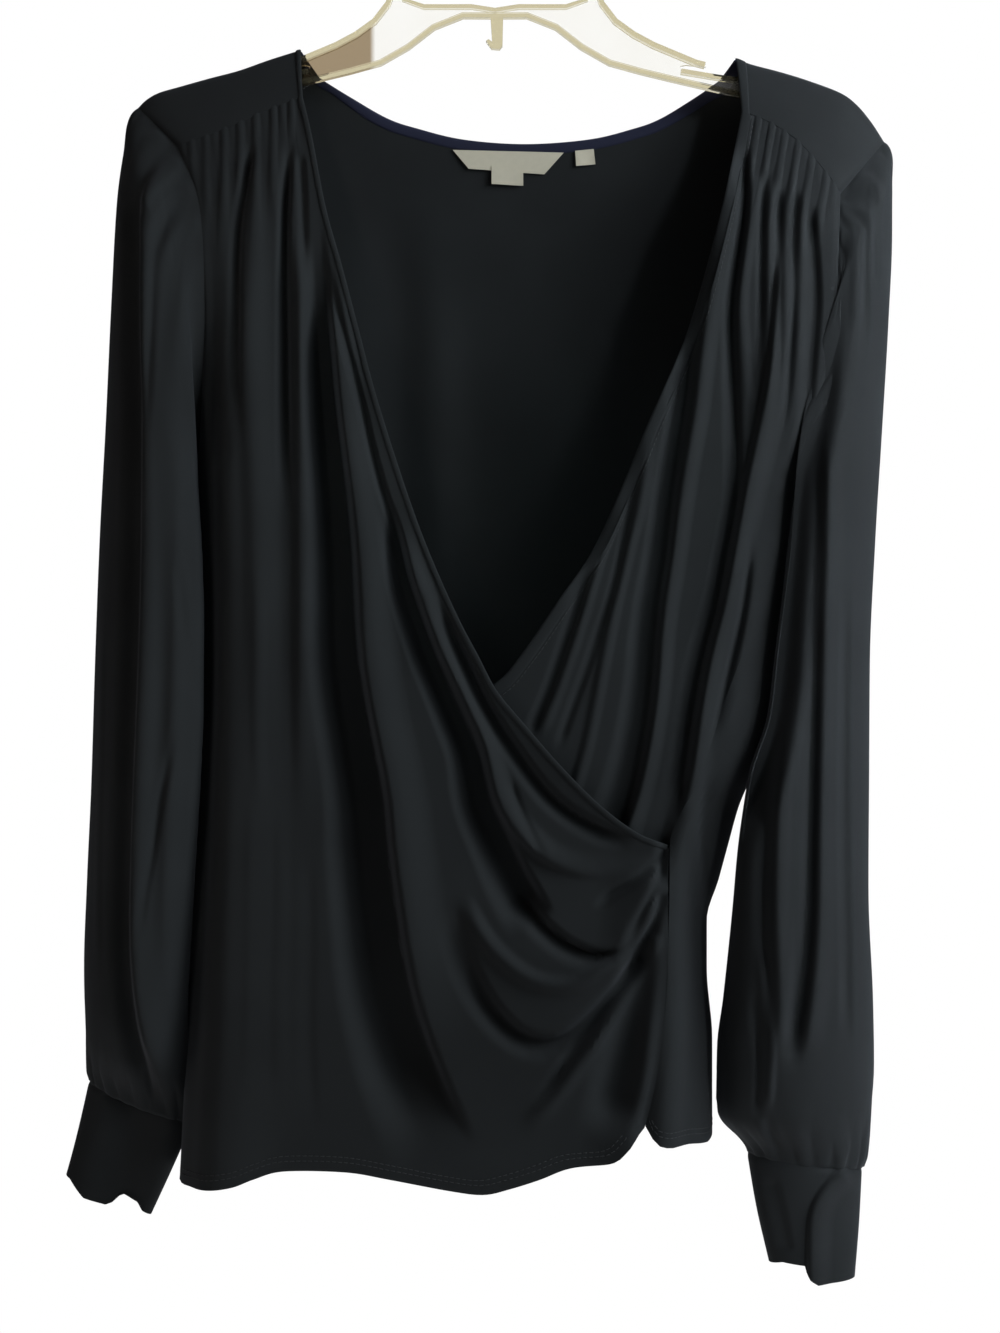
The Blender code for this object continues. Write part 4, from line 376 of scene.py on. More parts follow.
# %% Table of the under front's folds
UNDER_FOLDS = (
    ("band_trough", -5.4, (5, 20, 0.4), (4, 4.5), 0.08, 0.0,
     ((119.3, 236.9), (115, 261.2), (111.8, 285.5), (106.4, 312.5), (103.1, 339.4), (98.8, 366.4),
      (95, 393.4), (92.4, 420.4), (87, 458.1), (84.3, 495.9), (79.4, 528.2), (72.9, 555.2), (64.8, 574.1))),
    ("shoulder_ridge", 3.4, (4, 4), (8, 9), 0.03, 0.0,
     ((130.7, 188.4), (126.9, 231.5), (120.9, 263.9), (116.1, 290.9), (112.3, 317.9), (109.1, 344.8),
      (104.2, 371.8), (99.9, 398.8), (96.1, 425.7), (90.7, 458.1), (87.5, 495.9), (82.6, 528.2),
      (75.1, 560.6), (68.6, 579.5))),
    ("second_trough", -4.6, (4, 14), (4, 4.5), 0.03, 0.12,
     ((137.7, 193.8), (136.6, 231.5), (132.8, 258.5), (129, 285.5), (129, 312.5), (130.1, 339.4),
      (131.2, 366.4), (130.7, 393.4), (125.8, 420.4), (120.9, 447.3), (113.9, 474.3), (108.5, 501.3),
      (104.8, 528.2), (101, 549.8), (96.7, 566), (92.9, 577.9))),
    ("thin_ridge", 1.4, (4, 4), (5, 5), 0.05, 0.3,
     ((143.1, 210), (140.4, 231.5), (136.6, 258.5), (133.9, 285.5), (135, 312.5), (136.6, 339.4),
      (136, 366.4))),
    ("thin_trough", -2.4, (4, 4), (4, 4), 0.05, 0.35,
     ((148.5, 212.7), (146.8, 231.5), (145.8, 258.5), (145.2, 285.5), (144.7, 307.1), (143.1, 328.6))),
    ("third_ridge", 1.5, (4, 4), (5, 5), 0.05, 0.35,
     ((150.6, 215.4), (149.5, 231.5), (148.5, 258.5), (147.9, 285.5), (147.4, 312.5), (146.3, 339.4),
      (143.1, 361))),
    ("third_trough", -2.2, (4, 5), (4, 4), 0.05, 0.4,
     ((155.5, 220.7), (155.5, 247.7), (154.4, 274.7), (154.4, 301.7), (153.3, 328.6), (148.5, 355.6))),
    ("side_ridge", 6.2, (4, 4), (13, 12), 0.08, 0.14,
     ((156.5, 253.1), (153.9, 285.5), (151.2, 312.5), (146.8, 339.4), (140.9, 366.4), (135, 393.4),
      (129.6, 420.4), (124.7, 447.3), (117.2, 474.3), (111.8, 501.3), (107.5, 528.2), (104.2, 549.8),
      (101.5, 566), (99.4, 579.5))),
    ("arm_ridge", 1.8, (4, 4), (5, 6), 0.05, 0.35,
     ((167.9, 220.7), (166.3, 247.7), (165.2, 274.7), (164.1, 301.7), (161.9, 323.2), (159.2, 344.8))),
    ("arm_line", -2.0, (4, 5), (4, 4), 0.05, 0.35,
     ((166.3, 220.7), (164.6, 247.7), (163, 280.1), (160.9, 309.8), (158.2, 339.4), (153.9, 369.1))),
    ("arm_trough", -3.3, (7, 10), (4, 4), 0.05, 0.2,
     ((172.7, 228.8), (174.4, 253.1), (175.4, 285.5), (172.7, 317.9), (170, 350.2), (166.3, 382.6),
      (160.9, 420.4), (153.9, 458.1), (147.4, 490.5))),
    ("far_line", -2.0, (4, 5), (4, 4), 0.2, 0.3,
     ((138.2, 409.6), (136.6, 431.1), (132.8, 458.1), (125.8, 490.5), (118.8, 520.2), (111.8, 547.1))),
    ("far_ridge", 1.4, (4, 4), (8, 9), 0.2, 0.3,
     ((141.4, 409.6), (139.8, 433.8), (136, 460.8), (128.5, 490.5), (120.9, 514.8), (113.9, 539))),
    ("lap_side_ridge", 1.9, (4, 4), (5, 5), 0.1, 0.0,
     ((84.8, 355.6), (78.9, 393.4), (71.9, 420.4), (64.3, 452.7), (56.7, 490.5), (50.3, 522.9),
      (42.7, 549.8))),
    ("lap_line", -1.9, (4, 4), (4, 4), 0.15, 0.05,
     ((81, 352.9), (75.1, 382.6), (69.7, 415), (63.8, 441.9), (53, 474.3), (42.2, 504), (34.1, 527.2))),
    ("first_ridge", 1.7, (4, 4), (4, 4), 0.15, 0.05,
     ((71.9, 382.6), (62.7, 409.6), (56.7, 425.7), (47, 458.1), (35.2, 493.2), (24.4, 520.2))),
    ("edge_trough", -3.0, (6, 6), (4, 4), 0.12, 0.05,
     ((79.4, 352.9), (68.6, 381.5), (58.9, 408.5), (53, 425.7), (42.7, 458.1), (29.8, 495.9), (19, 520.2))),
    ("strip_ridge", 7.0, (10, 14), (14, 14), 0.16, 0.0,
     ((106.4, 544.4), (100.4, 571.4), (95.6, 593), (95, 609.2), (96.1, 641.5), (95.6, 663.1),
      (94, 684.7), (92.4, 717.1), (91.3, 741.3))),
    ("strip_line", 1.6, (5, 5), (4, 4), 0.2, 0.3,
     ((107.5, 549.8), (108, 576.8), (109.6, 593), (111.8, 614.6), (112.9, 636.1))),
    ("strip_fall", -3.6, (4, 4), (9, 5), 0.25, 0.25,
     ((117.2, 536.3), (113.9, 555.2), (112.9, 576.8), (113.9, 593), (115.5, 611.9))),
)

# %% Depth of the under front and of the over front
# Here and below, ease(distance / width) is a soft change over that many millimetres.
def drop_on(path, x):
    """The drop of a path that runs across, read at an x."""
    line = spline(path, np.linspace(0, 1, 80))
    order = np.argsort(line[:, 0])
    return np.interp(x, line[order, 0], line[order, 1])


def from_left(x, drop):
    """Distance from the left side line of the front."""
    return x - column(LEFT_FRONT_EDGE, drop, 1)


def right_front_surface(x, drop):
    """The under front above the lap and the strip of the back beside it share this surface."""
    calm = ease(from_left(x, drop) / 30) * ease((drop - drop_on(RIGHT_YOKE["front"], x)) / 45)
    turn = ease((column(RIGHT_FRONT_EDGE, drop, 1) - x) / 14)
    return front_base(x, drop) - creases_at(x, drop, UNDER_FOLDS) * calm * turn


def inside_over(x, drop):
    """Distance from the over front's edge, plus on its own side."""
    away, _, side = side_of(x, drop, OVER_EDGE)
    return away * side


# How far the over front stands forward at its edge, and how far the under front goes in at the seam.
LAP_FORWARD, TUCK = 6.5, 2.8


def over_surface(x, drop):
    """The over front: forward of the under front where it laps over it, level with it at the seam."""
    calm = ease(from_left(x, drop) / 26) * ease((drop - drop_on(LEFT_YOKE["front"], x)) / 30)
    own = front_base(x, drop) - creases_at(x, drop, OVER_FOLDS) * calm
    lap = ease((inside_over(x, drop) + 4) / 24)
    low = ease((drop - 400) / 60)
    own = own - LAP_FORWARD * low * (1 - 0.45 * lap) * ease(from_left(x, drop) / 60)
    at_seam = right_front_surface(x, drop)
    near = ease(1 - (seam_x(drop) - x) / 9) * ease((drop - 555) / 24)
    return own * (1 - near) + at_seam * near


def under_surface(x, drop):
    """The under front: it shows above the lap, lies flatter under it and is tucked in at the seam."""
    shown = right_front_surface(x, drop)
    hidden = front_base(x, drop) * 0.62 + 1.0
    into = ease((inside_over(x, drop) - 2) / 34) * ease((drop - 440) / 40)
    near = ease(1 - (seam_x(drop) - x) / 16) * ease((drop - 560) / 20)
    tucked = shown + TUCK * ease((drop - 566) / 12)
    blend = shown * (1 - into) + hidden * into
    return blend * (1 - near) + tucked * near

# %% [markdown]
# ## From a grid of points to a sheet of cloth
#
# A cloth panel is made as a grid of points: rows run down it and columns across it. The grid gives
# a map too, in metres along the cloth, so that the knit keeps its true size on every fold. The
# Solidify modifier then gives the sheet its thickness, and the finished piece takes the place of
# its plain solid.

# %% Points in space from x, depth and drop
CLOTH = 0.7  # thickness of the jersey, in millimetres


def in_space(x, y, drop):
    """Points as x, depth and height: the drop is measured downward from the hook."""
    return np.stack([x, y, -drop], axis=-1)

# %% A grid of points made into a thin sheet
def cloth_map(points, closed):
    """Metres along the cloth: across its rows and down its columns."""
    ring = np.concatenate([points, points[:, :1]], axis=1) if closed else points
    across = np.linalg.norm(np.diff(ring, axis=1), axis=2)
    down = np.linalg.norm(np.diff(ring, axis=0), axis=2)
    u = np.concatenate([np.zeros((len(ring), 1)), np.cumsum(across, axis=1)], axis=1)
    u = u - u.mean(axis=1, keepdims=True)
    v = np.concatenate([np.zeros((1, ring.shape[1])), np.cumsum(down, axis=0)], axis=0)
    return np.stack([u, v], axis=-1) / 1000


def new_object(name, points, faces):
    """An object from points in millimetres and faces that name them by number."""
    mesh = bpy.data.meshes.new(name)
    mesh.from_pydata((points.reshape(-1, 3) / 1000).tolist(), [], faces)
    obj = bpy.data.objects.new(name, mesh)
    bpy.context.collection.objects.link(obj)
    return obj


def grid_mesh(name, points, closed=False):
    """A mesh of four-sided faces from a grid of points, with its cloth map."""
    rows, cols = points.shape[:2]
    across = cols if closed else cols - 1
    r, c = np.meshgrid(np.arange(rows - 1), np.arange(across), indexing="ij")
    r, c = r.ravel(), c.ravel()
    right = (c + 1) % cols
    faces = np.column_stack([r * cols + c, (r + 1) * cols + c, (r + 1) * cols + right, r * cols + right])
    obj = new_object(name, points, faces.tolist())
    chart = cloth_map(points, closed)
    corners = np.stack([chart[r, c], chart[r + 1, c], chart[r + 1, c + 1], chart[r, c + 1]], axis=1)
    layer = obj.data.uv_layers.new(name="cloth")
    layer.data.foreach_set("uv", corners.reshape(-1).astype(np.float32))
    obj.data.update()
    return obj

# %% Helpers that work on a mesh
def pick(obj):
    """Makes one object the only selected one, and the active one."""
    bpy.ops.object.select_all(action="DESELECT")
    bpy.context.view_layer.objects.active = obj
    obj.select_set(True)


def apply(obj, kind, **settings):
    """Adds one modifier, sets it and applies it."""
    pick(obj)
    made = obj.modifiers.new(kind.title(), kind)
    for key, value in settings.items():
        setattr(made, key, value)
    bpy.ops.object.modifier_apply(modifier=made.name)
    obj.select_set(False)


def face_outward(obj, fill=False):
    """Turns all faces outward; before that it can close the open ends of a tube."""
    work = bmesh.new()
    work.from_mesh(obj.data)
    if fill:
        bmesh.ops.holes_fill(work, edges=work.edges, sides=0)
    bmesh.ops.recalc_face_normals(work, faces=work.faces)
    work.to_mesh(obj.data)
    work.free()


def smooth(obj, angle=60):
    """Smooth shading, with edges sharper than the angle left hard."""
    pick(obj)
    bpy.ops.object.shade_smooth_by_angle(angle=math.radians(angle))
    obj.select_set(False)

# %% A finished piece of cloth
def stands_for(obj, material, slot, *nodes):
    """Gives a piece its finish and puts it in the place of the nodes that it stands for."""
    obj.data.materials.clear()
    obj.data.materials.append(material)
    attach(obj, "root")
    if nodes:
        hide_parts(*nodes)
    count = sum(len(f.vertices) - 2 for f in obj.data.polygons)
    print(f"{obj.name}: {count} triangles")
    return obj


def cloth(name, points, material, slot, *nodes, closed=False, thick=CLOTH):
    """A sheet of cloth from its grid of points, finished and in the place of its solids."""
    obj = grid_mesh(name, points, closed)
    apply(obj, "SOLIDIFY", thickness=thick / 1000, offset=0, use_rim=True)
    face_outward(obj)
    smooth(obj)
    return stands_for(obj, material, slot, *nodes)

# %% [markdown]
# ## The jersey
#
# Fine viscose jersey is nearly black. What shows is not its colour but its nap: a faint sheen where
# the cloth turns away, and soft light along the folds. The knit's ribs are under half a millimetre
# wide, so they are made as a bump on the cloth map, and a slow noise keeps the black from being
# flat.

# %% Helpers for node materials
def principled(name, shown):
    """A new material with its node tree and shader; the colour is the one the plain view shows."""
    material = bpy.data.materials.new(name)
    material.use_nodes = True
    material.diffuse_color = (*shown, 1)
    return material, material.node_tree, material.node_tree.nodes["Principled BSDF"]


def settle(node, values):
    """Sets inputs of a node by their names."""
    for key, value in values.items():
        node.inputs[key].default_value = value


def add(tree, kind, values=(), **settings):
    """A new node of a kind, with its inputs and its settings."""
    node = tree.nodes.new("ShaderNode" + kind)
    settle(node, dict(values))
    for key, value in settings.items():
        setattr(node, key, value)
    return node


def ramp(tree, low, high, ends=(0, 1)):
    """A blend of two colours between two levels of what goes in."""
    node = add(tree, "ValToRGB")
    for element, colour, at in zip(node.color_ramp.elements, (low, high), ends):
        element.color = (*colour, 1)
        element.position = at
    return node


def scaled(colour, factor):
    """A darker or lighter tone of a colour."""
    return [c * factor for c in colour]


def link(tree, *pairs):
    """Joins each output to its input."""
    for a, b in pairs:
        tree.links.new(a, b)

# %% A knit for the jersey
def jersey(name, colour, sheen=0.12, tint=(0.62, 0.64, 0.72)):
    """Fine knit: ribs down the cloth, small loops across them, uneven depth of colour."""
    material, tree, shader = principled(name, colour)
    chart = add(tree, "UVMap", uv_map="cloth")
    ribs = add(tree, "TexWave", {"Scale": 700})
    loops = add(tree, "TexWave", {"Scale": 950}, bands_direction="Y")
    height = add(tree, "Math", operation="MULTIPLY")
    bump = add(tree, "Bump", {"Strength": 0.25, "Distance": 0.00012})
    place = add(tree, "TexCoord")
    slow = add(tree, "TexNoise", {"Scale": 14, "Detail": 5})
    shade = ramp(tree, scaled(colour, 0.82), scaled(colour, 1.18), (0.3, 0.7))
    link(tree,
         (chart.outputs["UV"], ribs.inputs["Vector"]),
         (chart.outputs["UV"], loops.inputs["Vector"]),
         (ribs.outputs["Fac"], height.inputs[0]),
         (loops.outputs["Fac"], height.inputs[1]),
         (height.outputs[0], bump.inputs["Height"]),
         (bump.outputs["Normal"], shader.inputs["Normal"]),
         (place.outputs["Object"], slow.inputs["Vector"]),
         (slow.outputs["Fac"], shade.inputs["Fac"]),
         (shade.outputs["Color"], shader.inputs["Base Color"]))
    settle(shader, {"Roughness": 0.85, "Specular IOR Level": 0.22, "Sheen Weight": sheen,
                    "Sheen Roughness": 0.45, "Sheen Tint": (*tint, 1)})
    return material


black_jersey = jersey("black_jersey", (0.0128, 0.0142, 0.0150))
navy_jersey = jersey("navy_jersey", (0.018, 0.020, 0.042), sheen=0.15, tint=(0.5, 0.52, 0.9))

# %% [markdown]
# ## The two fronts
#
# A front hangs from its yoke in lines of cloth that fan out towards the wrap edge and the hem. The
# tables give a few of those lines, with their share of the yoke seam and of the lower edge, and the
# grid is filled in between. The rows and columns are several times finer than the solid's, so that
# the gathers can be as narrow as real ones.

# %% Lines of cloth down the two fronts
# share across, share of the yoke seam, share of the lower edge, x and drop of points between
OVER_LINES = (
    (0, 0, 0, None),
    (0.09, 0.14, 0.065, ((-152, 230), (-147, 320), (-146, 458), (-147, 610))),
    (0.20, 0.32, 0.125, ((-141, 230), (-131, 330), (-127, 469), (-126, 600))),
    (0.34, 0.55, 0.21, ((-125, 230), (-113, 340), (-105, 450), (-100, 600))),
    (0.46, 0.70, 0.33, ((-113, 230), (-98, 330), (-88, 430), (-76, 550), (-58, 670))),
    (0.57, 0.80, 0.45, ((-108.5, 230), (-88, 330), (-68.5, 440), (-51, 560), (-22, 670))),
    (0.68, 0.87, 0.58, ((-105, 230), (-81, 330), (-60, 420), (-41, 510), (-11, 610), (24, 690))),
    (0.79, 0.92, 0.79, ((-101.8, 230), (-76.3, 330), (-54, 412), (-32, 490), (-2, 566), (32, 622),
                        (60, 640))),
    (0.90, 0.965, 0.91, ((-98.9, 230), (-72.7, 330), (-47.5, 410), (-21.5, 482), (8, 540), (42, 588),
                         (70, 602))),
    (1, 1, 1, None),
)
UNDER_LINES = (
    (0, 0, 0, None),
    (0.12, 0.035, 0.22, ((132, 236), (108.5, 318), (79.5, 392), (44, 464), (2, 532), (-60, 600))),
    (0.24, 0.08, 0.4, ((135.5, 236), (115.5, 318), (91.5, 392), (64, 468), (30, 560), (-40, 660))),
    (0.38, 0.18, 0.56, ((141, 236), (125, 318), (106, 400), (84, 490), (54, 590), (0, 690))),
    (0.52, 0.38, 0.7, ((152, 240), (138, 320), (120, 400), (102, 480), (80, 570), (40, 680))),
    (0.68, 0.64, 0.83, ((165, 252), (152, 330), (134, 410), (114, 490), (92, 570), (66, 670))),
    (0.84, 0.84, 0.93, ((177, 268), (166, 340), (148, 410), (122, 480), (98, 560), (82, 650))),
    (1, 1, 1, None),
)

# %% Seam lines and lines of cloth on the fronts
# How many fine rows and columns go into one of the plain solid's.
FINE_ROWS, FINE_COLUMNS, OVER_ROWS = 7, 6, 11
# The over front's plain rows: six beside the armhole, closer together, and seventeen below it.
ARM_ROWS, SIDE_STEPS = 6, 17
CLOSE = (ARM_ROWS / (ARM_ROWS + SIDE_STEPS), 0.33)
# Widths of the two edge bands and of the neck binding, in millimetres.
OVER_BAND, UNDER_BAND, NECK_BAND = 3.2, 6.5, 6.0


def inset_path(path, width, side):
    """A path in x, drop moved sideways by a width; side is plus to move to its left."""
    line = spline(path, np.linspace(0, 1, 60))
    run = unit(np.gradient(line, axis=0))
    return line + side * np.reshape(width, (-1, 1)) * np.column_stack([-run[:, 1], run[:, 0]])


def down_shares(rows, close=None):
    """Shares of the way down, as even steps, or closer together after one row and share."""
    if close:
        return np.interp(np.linspace(0, 1, rows), (0, close[0], 1), (0, close[1], 1))
    return np.linspace(0, 1, rows) ** 1.15


def front_grid(lines, first, last, top, foot, columns, close=None):
    """x, drop of a front's points: side rows as given, lines of cloth from yoke seam to lower edge."""
    rows = len(first)
    down = down_shares(rows, close)
    strands = []
    for share, start, end, mid in lines:
        if mid is None:
            strands.append(last if share else first)
        else:
            strands.append(spline([*spline(top, [start]), *mid, *spline(foot, [end])], down))
    strands = np.array(strands)
    across, starts, ends, _ = zip(*lines)
    grid = np.empty((rows, len(columns), 2))
    for r in range(rows):
        for k in range(2):
            grid[r, :, k] = np.interp(columns, across, strands[:, r, k])
    top_fix = spline(top, np.interp(columns, across, starts)) - grid[0]
    foot_fix = spline(foot, np.interp(columns, across, ends)) - grid[-1]
    for r, share in enumerate(down):
        grid[r] += top_fix * (1 - share) ** 8 + foot_fix * share**8
    return grid


def armhole_rows(path, steps):
    """x, drop of the rows of a panel along its armhole, in the order of the path."""
    line = spline(path, np.linspace(0, 1, steps + 1))
    return line[:, [0, 2]]

# %% Gathers under a yoke seam
def along_cloth(grid):
    """Length down each column of a grid."""
    steps = np.linalg.norm(np.diff(grid, axis=0), axis=2)
    return np.vstack([np.zeros(grid.shape[1]), np.cumsum(steps, axis=0)])


def gather_shape(away, half, share, trough):
    """Section of a gather: a round ridge between two shallow troughs, wider as it goes on."""
    wide = half * (1 + 1.2 * ease(share))
    shape = np.cos(0.5 * np.pi * np.clip(away / wide, 0, 3))
    return np.where(shape > 0, shape, trough * shape)


def gathers_at(grid, gathers, lean):
    """Depth of gathers: each starts at an x on the seam, leans with the cloth, and widens as it fades."""
    length = along_cloth(grid)
    total = np.zeros(grid.shape[:2])
    for x, high, half, reach in gathers:
        away = np.abs(grid[..., 0] - x - lean * length)
        shape = gather_shape(away, half, length / reach, 0.35)
        total += high * shape * ease(1 - length / reach) * (0.3 + 0.7 * ease(length / 4))
    return total


# x on the seam, height, half width, reach down the cloth
OVER_GATHERS = (
    (-172.0, 1.1, 1.9, 45), (-167.2, 1.5, 2.1, 80), (-163.2, 1.2, 1.7, 50), (-159.4, 1.6, 1.9, 70),
    (-154.6, 1.3, 2.2, 60), (-149.4, 1.8, 2.2, 100), (-144.9, 1.3, 1.9, 55), (-140.6, 1.7, 2.0, 90),
    (-136.3, 1.2, 1.8, 50), (-132.0, 1.8, 2.2, 110), (-127.2, 1.3, 1.9, 60), (-122.5, 1.7, 2.1, 95),
    (-117.6, 1.3, 2.0, 60), (-112.8, 1.2, 1.8, 50),
)
UNDER_GATHERS = (
    (141.5, 1.0, 1.8, 60), (145.8, 1.4, 1.9, 90), (149.6, 1.1, 1.6, 50), (153.2, 1.5, 1.8, 110),
    (156.9, 1.1, 1.5, 55), (160.2, 1.5, 1.8, 90), (163.9, 1.1, 1.6, 50), (167.4, 1.6, 1.8, 120),
    (171.0, 1.1, 1.6, 55), (174.6, 1.5, 1.8, 85), (178.4, 1.1, 1.7, 50), (182.4, 1.3, 1.8, 70),
    (186.6, 0.9, 1.6, 40),
)

# %% [markdown]
# A sewn seam pulls the cloth in a little, and a hem is two layers held by two rows of stitches.
# Both are small changes of depth near an edge, so one helper moves points inward by their distance
# from the edge, and another raises the doubled hem and sinks its stitch lines.

# %% Sunk seams and doubled hems
HEM_STITCHES = (8.0, 5.3)  # how far above the lower edge the two rows of stitches run


def under_lip(points, distance, up=1.2, deep=0.5, reach=2.2):
    """Takes the sewn end of a panel up and inward, under the lip of the piece it is sewn to."""
    near = ease(1 - distance / reach)
    points[..., 1] += deep * near
    points[..., 2] += up * near**2


def hem_relief(distance):
    """Height of a turned-up hem: thicker below its stitches, with a line pressed in at each row."""
    raised = 0.35 * ease((HEM_STITCHES[0] + 1.5 - distance) / 1.5)
    rows = sum(np.exp(-((distance - far) / 0.55) ** 2) for far in HEM_STITCHES)
    return (raised - 0.45 * rows) * ease((30 - distance) / 5)

# %% The over front
def over_front_points():
    """The over front: armhole and side on the left, wrap edge on the right, hem and side seam below."""
    rows = (ARM_ROWS + SIDE_STEPS) * OVER_ROWS + 1
    edge = spline(inset_path(OVER_EDGE, OVER_BAND * 0.6, 1), down_shares(rows, CLOSE))
    seam = spline(SIDE_SEAM, np.linspace(0, 1, 120))
    edge[0, 1] = drop_on(LEFT_YOKE["front"], edge[0, 0])
    edge[-1, 0] = seam[np.argmin(np.abs(seam[:, 1] - edge[-1, 1])), 0]
    low_seam = seam[seam[:, 1] > edge[-1, 1] + 1][::-1]
    hem = spline(OVER_HEM, np.linspace(0, 1, 120))
    foot = np.vstack([hem[:-1], low_seam, edge[-1:]])
    arm = armhole_rows(LEFT_ARMHOLE_FRONT, ARM_ROWS * OVER_ROWS)
    drops = np.linspace(LEFT_UNDERARM[1], foot[0, 1], SIDE_STEPS * OVER_ROWS + 1)[1:-1]
    below = np.column_stack([column(LEFT_FRONT_EDGE, drops, 1), drops])
    left = np.vstack([arm, below, foot[:1]])
    top = spline(LEFT_YOKE["front"][::-1], np.linspace(0, 1, 80))
    top = np.vstack([top[top[:, 0] < edge[0, 0] - 0.5], edge[:1]])
    columns = np.interp(np.linspace(0, 1, 187), (0, 0.15, 0.45, 1), (0, 0.19, 0.49, 1))
    grid = front_grid(OVER_LINES, left, edge, top, foot, columns, CLOSE)
    x, drop = grid[..., 0], grid[..., 1]
    y = over_surface(x, drop)
    calm = ease(columns / 0.03) * ease((1 - columns) / 0.04)
    y = y - gathers_at(grid, OVER_GATHERS, 0.02) * calm
    points = in_space(x, y, drop)
    points[len(arm):, 0, 1] -= 0.4  # clear of the back at the left side
    length = along_cloth(grid)
    under_lip(points, length)
    on_hem = ease((76 - grid[-1, :, 0]) / 8)
    points[..., 1] -= hem_relief(length[-1] - length) * on_hem
    return points


over_grid = over_front_points()
over_front = cloth("over_front", over_grid, black_jersey, "jersey", "front_over")

# %% The under front
def finer(values, steps):
    """The same list with each step cut into several."""
    at = np.linspace(0, len(values) - 1, (len(values) - 1) * steps + 1)
    return np.interp(at, np.arange(len(values)), values)


def under_front_points():
    """The under front: wrap edge on the left, armhole and side seam on the right."""
    arm = armhole_rows(RIGHT_ARMHOLE_FRONT, 11 * FINE_ROWS)
    drops = finer((*SIDE_ROWS, 610, 660, 727), FINE_ROWS)[1:]
    last = np.vstack([arm, np.column_stack([seam_x(drops), drops])])
    rows = len(last)
    edge = spline(inset_path(UNDER_EDGE, UNDER_BAND - 1.0, -1), down_shares(rows))
    edge[0, 1] = drop_on(RIGHT_YOKE["front"], edge[0, 0])
    left = [(column(LEFT_FRONT_EDGE, drop, 1) + 4, drop) for drop in (620, 680, 730)]
    foot = np.vstack([edge[-1:], left, UNDER_HEM[:-1], last[-1:]])
    top = spline(RIGHT_YOKE["front"], np.linspace(0, 1, 80))
    top = np.vstack([edge[:1], top[top[:, 0] > edge[0, 0] + 0.5]])
    columns = np.linspace(0, 1, 30 * FINE_COLUMNS + 1)
    grid = front_grid(UNDER_LINES, edge, last, top, foot, columns)
    x, drop = grid[..., 0], grid[..., 1]
    inside = seam_x(drop) - 40 * (1 - columns)
    below_arm = drop > RIGHT_UNDERARM[1] + 1
    x = np.where(below_arm & (columns < 1), np.minimum(x, inside), x)
    grid = np.stack([x, drop], axis=-1)
    y = under_surface(x, drop)
    calm = ease(columns / 0.04) * ease((1 - columns) / 0.03)
    y = y - gathers_at(grid, UNDER_GATHERS, -0.19) * calm
    points = in_space(x, y, drop)
    length = along_cloth(grid)
    under_lip(points, length)
    points[..., 1] -= hem_relief(length[-1] - length)
    return points


under_grid = under_front_points()
under_front = cloth("under_front", under_grid, black_jersey, "jersey", "front_under")

# %% [markdown]
# ## The back
#
# Seen through the open neck, the inside of the back hangs in soft upright folds. On the wearer's
# left it turns round the side and comes forward to the side seam. Its grid follows the same turn as
# the solid's: straight columns over the flat part, then columns that go round the fold.

# %% Folds of the back
# name, height, half width, power, fade in, fade out, line of x and drop
BACK_FOLDS = (
    ("left_swell", 2.0, 26, 1.0, 0.2, 0.3, ((-60, 200), (-57, 300), (-56, 420), (-60, 560))),
    ("left_hollow", -1.8, 22, 1.0, 0.2, 0.3, ((-34, 240), (-34, 350), (-32, 460), (-36, 600))),
    ("middle_swell", 1.8, 24, 1.0, 0.2, 0.2, ((-12, 270), (-8, 380), (-4, 480), (-2, 700))),
    ("right_hollow", -2.2, 26, 1.0, 0.2, 0.2, ((30, 260), (36, 388), (42, 500), (44, 720))),
    ("right_swell", 2.2, 22, 1.0, 0.2, 0.2, ((78, 240), (82, 380), (80, 540), (78, 800))),
    ("side_swell", 2.2, 20, 1.0, 0.2, 0.0, ((-112, 230), (-112, 400), (-112, 600), (-114, 800))),
    ("side_hollow", -2.2, 17, 1.0, 0.3, 0.0, ((-88, 330), (-88, 500), (-86, 800))),
    ("far_hollow", -1.8, 14, 1.0, 0.2, 0.3, ((118, 240), (118, 380), (112, 520), (100, 640))),
)


def back_surface(x, drop):
    """Depth of the back with its folds, which are calm near its edges."""
    left = ease((x - column(LEFT_BACK_EDGE, drop, 1)) / 30)
    right = ease((column(RIGHT_BACK_EDGE, drop, 1) - x) / 30)
    high = ease((drop - 175) / 60)
    return back_base(x, drop) + folds_at(x, drop, BACK_FOLDS) * left * right * high

# %% Upper edge of the back
def binding_width(count):
    """The binding widens from the over front's narrow band and runs into the under front's wide one."""
    run = np.linspace(0, 1, count)
    width = OVER_BAND + (NECK_BAND - OVER_BAND) * ease(run / 0.15)
    return width + (UNDER_BAND - NECK_BAND) * ease((run - 0.85) / 0.15)


def back_neck():
    """A line along the lower edge of the neck binding."""
    return inset_path(BACK_NECK, binding_width(60), 1)


LEFT_TOP_X, RIGHT_TOP_X = LEFT_BACK_EDGE[0][1], RIGHT_BACK_EDGE[0][1]


def back_stations(steps):
    """Where the back's columns start, left to right: the two corners of the neck are among them."""
    left, right = back_neck()[[0, -1], 0]
    return np.concatenate([
        np.linspace(LEFT_TOP_X, left, 5 * steps + 1)[:-1],
        np.linspace(left, right, 12 * steps + 1)[:-1],
        np.linspace(right, RIGHT_TOP_X - RIGHT_ROUND, 3 * steps + 1),
    ])


